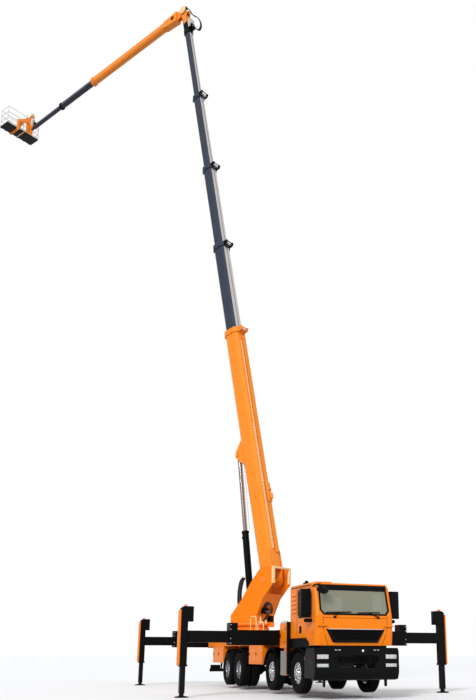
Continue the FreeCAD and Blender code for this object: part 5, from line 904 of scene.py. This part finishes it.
def hull_band(half, rise, steps):
    """A closed band round a section, through its outline grown by a distance at each x."""
    loops = []
    for grow, x in steps:
        outline = hull_outline(half + grow, rise + grow)
        loops.append(np.column_stack([np.full(len(outline), x), outline]))
    return ring_band(loops)


def collar_band(half, rise, start, end):
    """A sleeve a little larger than a collar, over its back face and its outside."""
    return hull_band(half, rise, ((0.001, start - 0.004), (0.034, start - 0.004), (0.039, start),
        (0.039, end - 0.004), (0.036, end + 0.001), (0.022, end + 0.001), (0.022, start + 0.01),
        (0.001, start + 0.002)))


def guide_rollers(half, rise, end):
    """A hooked frame with a roller on a collar's top, hooks below it and the pads' housings beside it."""
    top = rise + 0.034
    cheek = [(end - 0.218, top - 0.01), (end - 0.012, top - 0.01), (end - 0.012, rise + 0.20),
        (end - 0.05, rise + 0.27), (end - 0.15, rise + 0.27), (end - 0.218, rise + 0.20)]
    hooks = [prism(cheek, y, y + 0.025, 0.004) for y in (-0.20, 0.175)]
    hooks.append(bar((end - 0.10, -0.18, rise + 0.245), (end - 0.10, 0.18, rise + 0.245), 0.022, 12))
    hooks += [block((end - 0.21, y, -top - 0.055), (end - 0.02, y + 0.05, -top + 0.01), 0.012)
        for y in (-half * 0.5, half * 0.35)]
    roller = ring_lathe([(0.0, 0.020), (0.0, 0.040), (0.006, 0.046), (0.06, 0.043), (0.18, 0.040),
        (0.30, 0.043), (0.354, 0.046), (0.36, 0.040), (0.36, 0.020)], 28)
    pads = []
    for sign in (1, -1):
        low, high = sorted((sign * (half + 0.030), sign * (half + 0.060)))
        pads += [block((end - 0.205, low, z - 0.04), (end - 0.03, high, z + 0.04), 0.010)
            for z in (-rise * 0.45, rise * 0.28)]
    return join(*hooks), aimed(roller, (end - 0.09, -0.18, rise + 0.12), (0, 1, 0), (0, 0, 1)), join(*pads)


def boom_fittings():
    for k in range(5):
        half, rise, end = section(k)
        on_section = maker(BOOM, f"boom_section_{k + 1}") if k else on_base
        if k < 4:
            hooks, roller, pads = guide_rollers(half, rise, end)
            on_section(f"guide_hooks_{k}", "black_gloss" if k else "boom_orange", hooks)
            on_section(f"guide_roller_{k}", "pale_steel", roller)
            on_section(f"guide_pads_{k}", "slate_paint" if k else "boom_orange", pads)
        if k:
            on_section(f"collar_band_{k}", "slate_paint" if k < 4 else "black_gloss",
                collar_band(half, rise, end - 0.23, end))
            back, front, edge = end - TRAY_BACK, end - TRAY_FRONT, half * 0.66
            on_section(f"tray_strip_{k}", "tray_grey",
                flat_plate(rectangle(back, front, -0.017, edge - 0.006), rise - 0.0005, rise + 0.0018))
            on_section(f"tray_lid_{k}", "tray_grey",
                flat_plate(rectangle(back, front, 0.019 - edge, -0.019), rise + 0.0195, rise + 0.0215))
    on_base("tray_slit", "black_plastic", flat_plate(rectangle(1.04, 10.5, -0.015, 0.004), 0.3495, 0.3512))
    pipes = [bar((1.15, y, 0.366), (end, y, 0.366), 0.011, 10) for y, end in ((0.05, 10.3), (0.10, 10.3),
        (0.15, 6.4))]
    clips = [block((x - 0.02, 0.03, 0.346), (x + 0.02, 0.17, 0.382), 0.006)
        for x in np.arange(1.6, 6.3, 1.15)]
    on_base("boom_pipes", "cream_paint", *pipes, *clips)
    on_base("hose_guide", "boom_orange", block((3.05, -0.20, 0.405), (3.85, 0.02, 0.470), 0.02),
        block((3.15, -0.17, 0.46), (3.40, -0.05, 0.56), 0.03), bar((3.55, -0.14, 0.50), (3.55, 0.01, 0.50),
        0.045, 24))
    plug = lathe([(0, 0.016), (0.006, 0.016), (0.009, 0.010), (0.010, 0)], 12)
    on_base("side_plugs", "black_plastic", *[aimed(plug, (x, 0.310, 0.05), (0, 1, 0), (0, 0, 1))
        for x in (1.9, 3.3, 4.3, 6.9, 8.4, 9.9)])


def head_fittings():
    half, rise, end = section(4)
    on_head("head_box", "beige_paint", block((end + 0.055, -half + 0.006, rise + 0.002),
        (end + 0.566, half - 0.006, rise + 0.196), 0.016))
    on_head("head_skirt", "black_gloss", block((end + 0.002, -half - 0.012, rise + 0.001),
        (end + 0.054, half + 0.012, rise + 0.215), 0.008))
    on_head("head_slit", "bare_plate", block((end + 0.012, -half - 0.016, rise + 0.030),
        (end + 0.034, half + 0.016, rise + 0.190), 0.003))
    path = [(30.30, 0.22), (30.02, 0.36), (29.69, 0.47), (29.41, 0.57), (29.09, 0.78), (28.68, 0.93),
        (28.34, 0.95), (28.18, 0.80), (28.40, 0.62), (28.90, 0.45), (28.99, 0.30)]
    loops = [hose([(x, y, z) for x, z in path], 0.020, 12) for y in (0.07, 0.115, 0.16)]
    on_head("head_hoses", "hose_rubber", *loops, block((30.22, 0.04, 0.16), (30.32, 0.20, 0.25), 0.012))
    neck_end, sleeve_end = 29.36, 29.803
    for name, low, high, finish in (("head_neck", end + 0.002, neck_end, "black_gloss"),
            ("head_sleeve", neck_end, sleeve_end, "boom_orange")):
        on_head(name, finish,
            hull_band(half, rise, ((0.0005, low), (0.003, low), (0.003, high), (0.0005, high))))
    pin_x, eye = 30.26, 0.162
    arc = np.radians(np.linspace(50, -50, 13))
    cheek = [(29.78, -0.161), (30.17, -eye), *[(pin_x + eye * math.cos(t), -eye * math.sin(t))
        for t in arc], (30.17, eye), (29.78, 0.161)]
    cap = lathe([(0, 0.205), (0.040, 0.212), (0.052, 0.205), (0.058, 0.190), (0.059, 0)], 48)
    on_head("head_cheeks", "boom_orange", *[prism(cheek, low, low + 0.037, 0.002)
        for low in (0.1055, -0.1425)])
    on_head("head_caps", "cream_paint", *[aimed(cap, (pin_x, sign * 0.171, 0.0), (0, sign, 0), (1, 0, 0))
        for sign in (1, -1)])


def flat_stripe(start, end, low, high, at):
    """A band of painted highlight under a millimetre thick along a section's side, the plane y = at."""
    sides = sorted((at - math.copysign(0.0005, at), at + math.copysign(0.00015, at)))
    return prism(rectangle(start, end, low, high), *sides)


def jib_fittings():
    second, third = (0.136, 0.146), (0.100, 0.110)
    band = hull_band(*second, ((0.001, 10.316), (0.026, 10.316), (0.030, 10.320), (0.030, 10.466),
        (0.028, 10.471), (0.016, 10.471), (0.016, 10.33), (0.001, 10.322)))
    piece("jib_band", band, JIB, "black_gloss", "jib_section_2")
    for name, (half, rise), low, high in (("jib_section_2", second, 7.52, 10.31),
            ("jib_section_3", third, 10.52, 13.04)):
        # painted highlight: pale lilac-grey bands along the jib sections' sides
        highlight_stripes = [flat_stripe(low, high, rise * 0.02, rise * 0.34, sign * half) for sign in (1, -1)]
        piece(f"stripe_{name}", join(*highlight_stripes), JIB, "painted_highlight_slate", name)
    on_jib("jib_pads", "boom_orange", *[block((7.34, low, -0.09), (7.45, low + 0.033, 0.09), 0.01)
        for low in (0.192, -0.225)])
    pipes = [hose([(1.2, y + 0.04, -0.235), (1.8, y, -0.213), (4.0, y, -0.206), (7.2, y, -0.206)], 0.012,
        10) for y in (0.06, 0.095)]
    on_jib("jib_pipes", "boom_orange", *pipes)


# Basket

def basket_fittings():
    low_x, high_x, low_y, high_y = 0.335, 1.115, -0.642, 1.478
    ribs = [block((low_x + 0.02, y - 0.012, -0.290), (high_x - 0.02, y + 0.012, -0.270), 0.005)
        for y in (-0.42, -0.16, 0.10, 0.55, 1.02, 1.25)]
    hooks = [block((high_x - 0.01, y - 0.03, -0.30), (high_x + 0.03, y + 0.03, -0.21), 0.01)
        for y in (-0.5, -0.1, 0.3, 1.1, 1.4)]
    floor = block((low_x - 0.003, low_y - 0.003, -0.277), (high_x + 0.003, high_y + 0.003, -0.211), 0.006)
    edge = bar((low_x - 0.006, low_y + 0.02, -0.268), (low_x - 0.006, high_y - 0.02, -0.268), 0.014, 12)
    on_basket("floor_skin", "charcoal", floor, edge, *hooks, *ribs)
    on_basket("floor_beam", "orange_paint",
        block((low_x - 0.004, 0.704, -0.346), (high_x + 0.004, 0.839, -0.268), 0.008))
    bracket = side_plate([(-0.073, 0.813), (0.092, 0.813), (0.333, 0.672), (0.845, 0.332), (0.845, -0.347),
        (0.707, -0.347), (0.707, 0.268), (0.229, 0.477), (-0.073, 0.597)], 0.2975, 0.3605, 0.004)
    hood = prism([(0.37, 0.40), (0.372, 0.82), (0.29, 0.93), (0.16, 0.985), (0.04, 0.955), (0.03, 0.865),
        (0.12, 0.86), (0.215, 0.80), (0.225, 0.42)], -0.112, 0.112, 0.01)
    back = block((0.331, -0.223, -0.205), (0.375, 0.223, 0.910), 0.008)
    web = block((0.147, -0.044, 0.268), (0.373, 0.044, 0.804), 0.008)
    # painted highlight: the swing arm takes the lighter boom orange to stand for its sunlit paint
    on_basket("swing_skin", "boom_orange", bracket, back, web, hood)
    on_basket("floor_rib", "cream_paint",
        block((low_x - 0.003, 0.334, -0.3065), (high_x + 0.003, 0.382, -0.268), 0.006))
    motor = lathe([(0, 0), (0, 0.088), (0.06, 0.092), (0.13, 0.092), (0.145, 0.08), (0.16, 0.04),
        (0.162, 0)], 40)
    sleeve = ring_lathe([(0.252, 0.046), (0.252, 0.078), (0.262, 0.083), (0.80, 0.083), (0.815, 0.078),
        (0.815, 0.046)], 40)
    on_basket("swing_motor", "beige_paint", upright(motor, (0.120, 0, 0.975)),
        upright(sleeve, (0.120, 0, 0)))
    knob = lathe([(0, 0), (0, 0.02), (0.03, 0.026), (0.055, 0.02), (0.06, 0)], 20)
    on_basket("console_box", "black_plastic", block((0.368, -0.184, 0.636), (0.609, 0.224, 0.864), 0.018),
        hose([(0.49, -0.05, 0.86), (0.49, -0.05, 0.93), (0.485, -0.055, 0.99)], 0.010, 10),
        upright(knob, (0.485, -0.055, 0.975)), bar((0.42, 0.17, 0.86), (0.42, 0.17, 1.19), 0.007, 8),
        block((0.40, 0.13, 0.85), (0.60, 0.21, 0.885), 0.01),
        block((0.372, -0.50, 0.600), (0.520, -0.25, 0.775), 0.02),
        block((0.372, -0.47, 0.770), (0.395, -0.28, 0.905), 0.008),
        bar((0.45, -0.29, 0.77), (0.45, -0.31, 1.06), 0.012, 8),
        block((0.42, -0.36, 0.985), (0.48, -0.24, 1.035), 0.012))
    button = upright(lathe([(0, 0.012), (0.010, 0.012), (0.014, 0.008), (0.015, 0)], 14))
    on_basket("console_buttons", "red_lens",
        at_points(button, [(0.46, 0.02, 0.862), (0.52, 0.02, 0.862), (0.46, 0.08, 0.862)]))
    thin = [bar((x, start, -0.19), (x, end, 0.50), 0.009, 10) for x in (low_x + 0.018, high_x - 0.018)
        for start, end in ((low_y + 0.03, 0.40), (1.45, 0.44))]
    thin += [bar((low_x + 0.03, y, -0.19), (high_x - 0.03, y, 0.50), 0.009, 10)
        for y in (low_y + 0.018, high_y - 0.018)]
    thin += [block((x, low_y + 0.04, -0.212), (x + 0.004, high_y - 0.04, -0.10), 0.0015)
        for x in (low_x + 0.038, high_x - 0.042)]
    on_basket("basket_braces", "rail_metal", *thin)
    # painted shade: thin black discs stand in for the shade inside the floor beam's holes
    hole = lathe([(-0.003, 0), (-0.003, 0.034), (0.0, 0.036), (0.0, 0)], 24)
    on_basket("beam_holes", "black_plastic", *[upright(hole, (x, 0.771, -0.3465)) for x in (0.55, 0.90)])


wheel_faces()
cab_front()
bumper_details()
cab_sides()
door_details()
locker_fittings()
cabinet_fittings()
deck_fittings()
tail_fittings()
outrigger_fittings()
turret_fittings()
cylinder_fittings()
boom_fittings()
head_fittings()
jib_fittings()
basket_fittings()

# Floor, light and camera

def darker_bounce(material, grey):
    """The surface lights what stands over it as a grey one would, and is seen in its own colour."""
    tree = material.node_tree
    shader = tree.nodes["Principled BSDF"]
    rays = add(tree, "ShaderNodeLightPath", {}).outputs
    direct = combined(tree, "MAXIMUM", rays["Is Camera Ray"], rays["Is Glossy Ray"])
    seen = combined(tree, "MAXIMUM", direct, rays["Is Transmission Ray"])
    own = shader.inputs["Base Color"].links[0].from_socket
    feed(tree, shader, {"Base Color": mixed(tree, seen, (grey, grey, grey, 1), own)})


def studio():
    """A pale floor, a white surround, one soft key and two fills."""
    size = 260.0
    corners = [(x, y, 0.0) for x, y in rectangle(-size, size, -size, size)]
    mesh = bpy.data.meshes.new("floor")
    mesh.from_pydata(corners, [], [(0, 1, 2, 3)])
    floor = bpy.data.objects.new("floor", mesh)
    bpy.context.scene.collection.objects.link(floor)
    paper = surface("floor_white", (0.9, 0.9, 0.9), 0.85, variation=0.005, scale=0.2)
    darker_bounce(paper, 0.42)
    mesh.materials.append(paper)

    world = bpy.data.worlds.new("surround")
    bpy.context.scene.world = world
    world.use_nodes = True
    tree = world.node_tree
    tree.nodes.clear()
    rays = add(tree, "ShaderNodeLightPath", {}).outputs
    shown = add(tree, "ShaderNodeBackground", {"Color": (1, 1, 1, 1), "Strength": 1.0})
    light = add(tree, "ShaderNodeBackground", {"Color": (0.93, 0.96, 1.0, 1), "Strength": 0.56})
    seen = combined(tree, "MAXIMUM", rays["Is Camera Ray"], rays["Is Transmission Ray"])
    add(tree, "ShaderNodeOutputWorld", {0: add(tree, "ShaderNodeMixShader", {0: seen, 1: light, 2: shown})})

    for name, strength, angle, direction in (("key", 2.35, 18.0, (0.62, 0.66, -0.55)),
            ("fill", 0.7, 60.0, (-0.6, 0.7, -0.35)), ("back", 0.5, 60.0, (0.2, -0.9, -0.5))):
        lamp = bpy.data.lights.new(name, "SUN")
        lamp.energy = strength
        lamp.angle = math.radians(angle)
        item = bpy.data.objects.new(name, lamp)
        bpy.context.scene.collection.objects.link(item)
        aim = np.array(direction) / np.linalg.norm(direction)
        item.rotation_euler = (math.acos(-aim[2]), 0, math.atan2(aim[1], aim[0]) - math.pi / 2)


def camera():
    """The photograph's viewpoint, in the truck's own frame, and its lens."""
    yaw, pitch = 0.3803, 0.2424
    lens = bpy.data.cameras.new("view")
    lens.lens = 38.96
    lens.sensor_width = 36.0
    lens.shift_x = -0.0976
    lens.shift_y = 0.1656
    lens.clip_end = 600.0
    item = bpy.data.objects.new("view", lens)
    bpy.context.scene.collection.objects.link(item)
    item.location = TRUCK[:3, 3] + np.array([-8.985, -20.271, 1.191])
    item.rotation_euler = (math.pi / 2 + pitch, 0.0, -yaw)
    bpy.context.scene.camera = item


studio()
camera()
bpy.context.scene.view_settings.view_transform = "Standard"
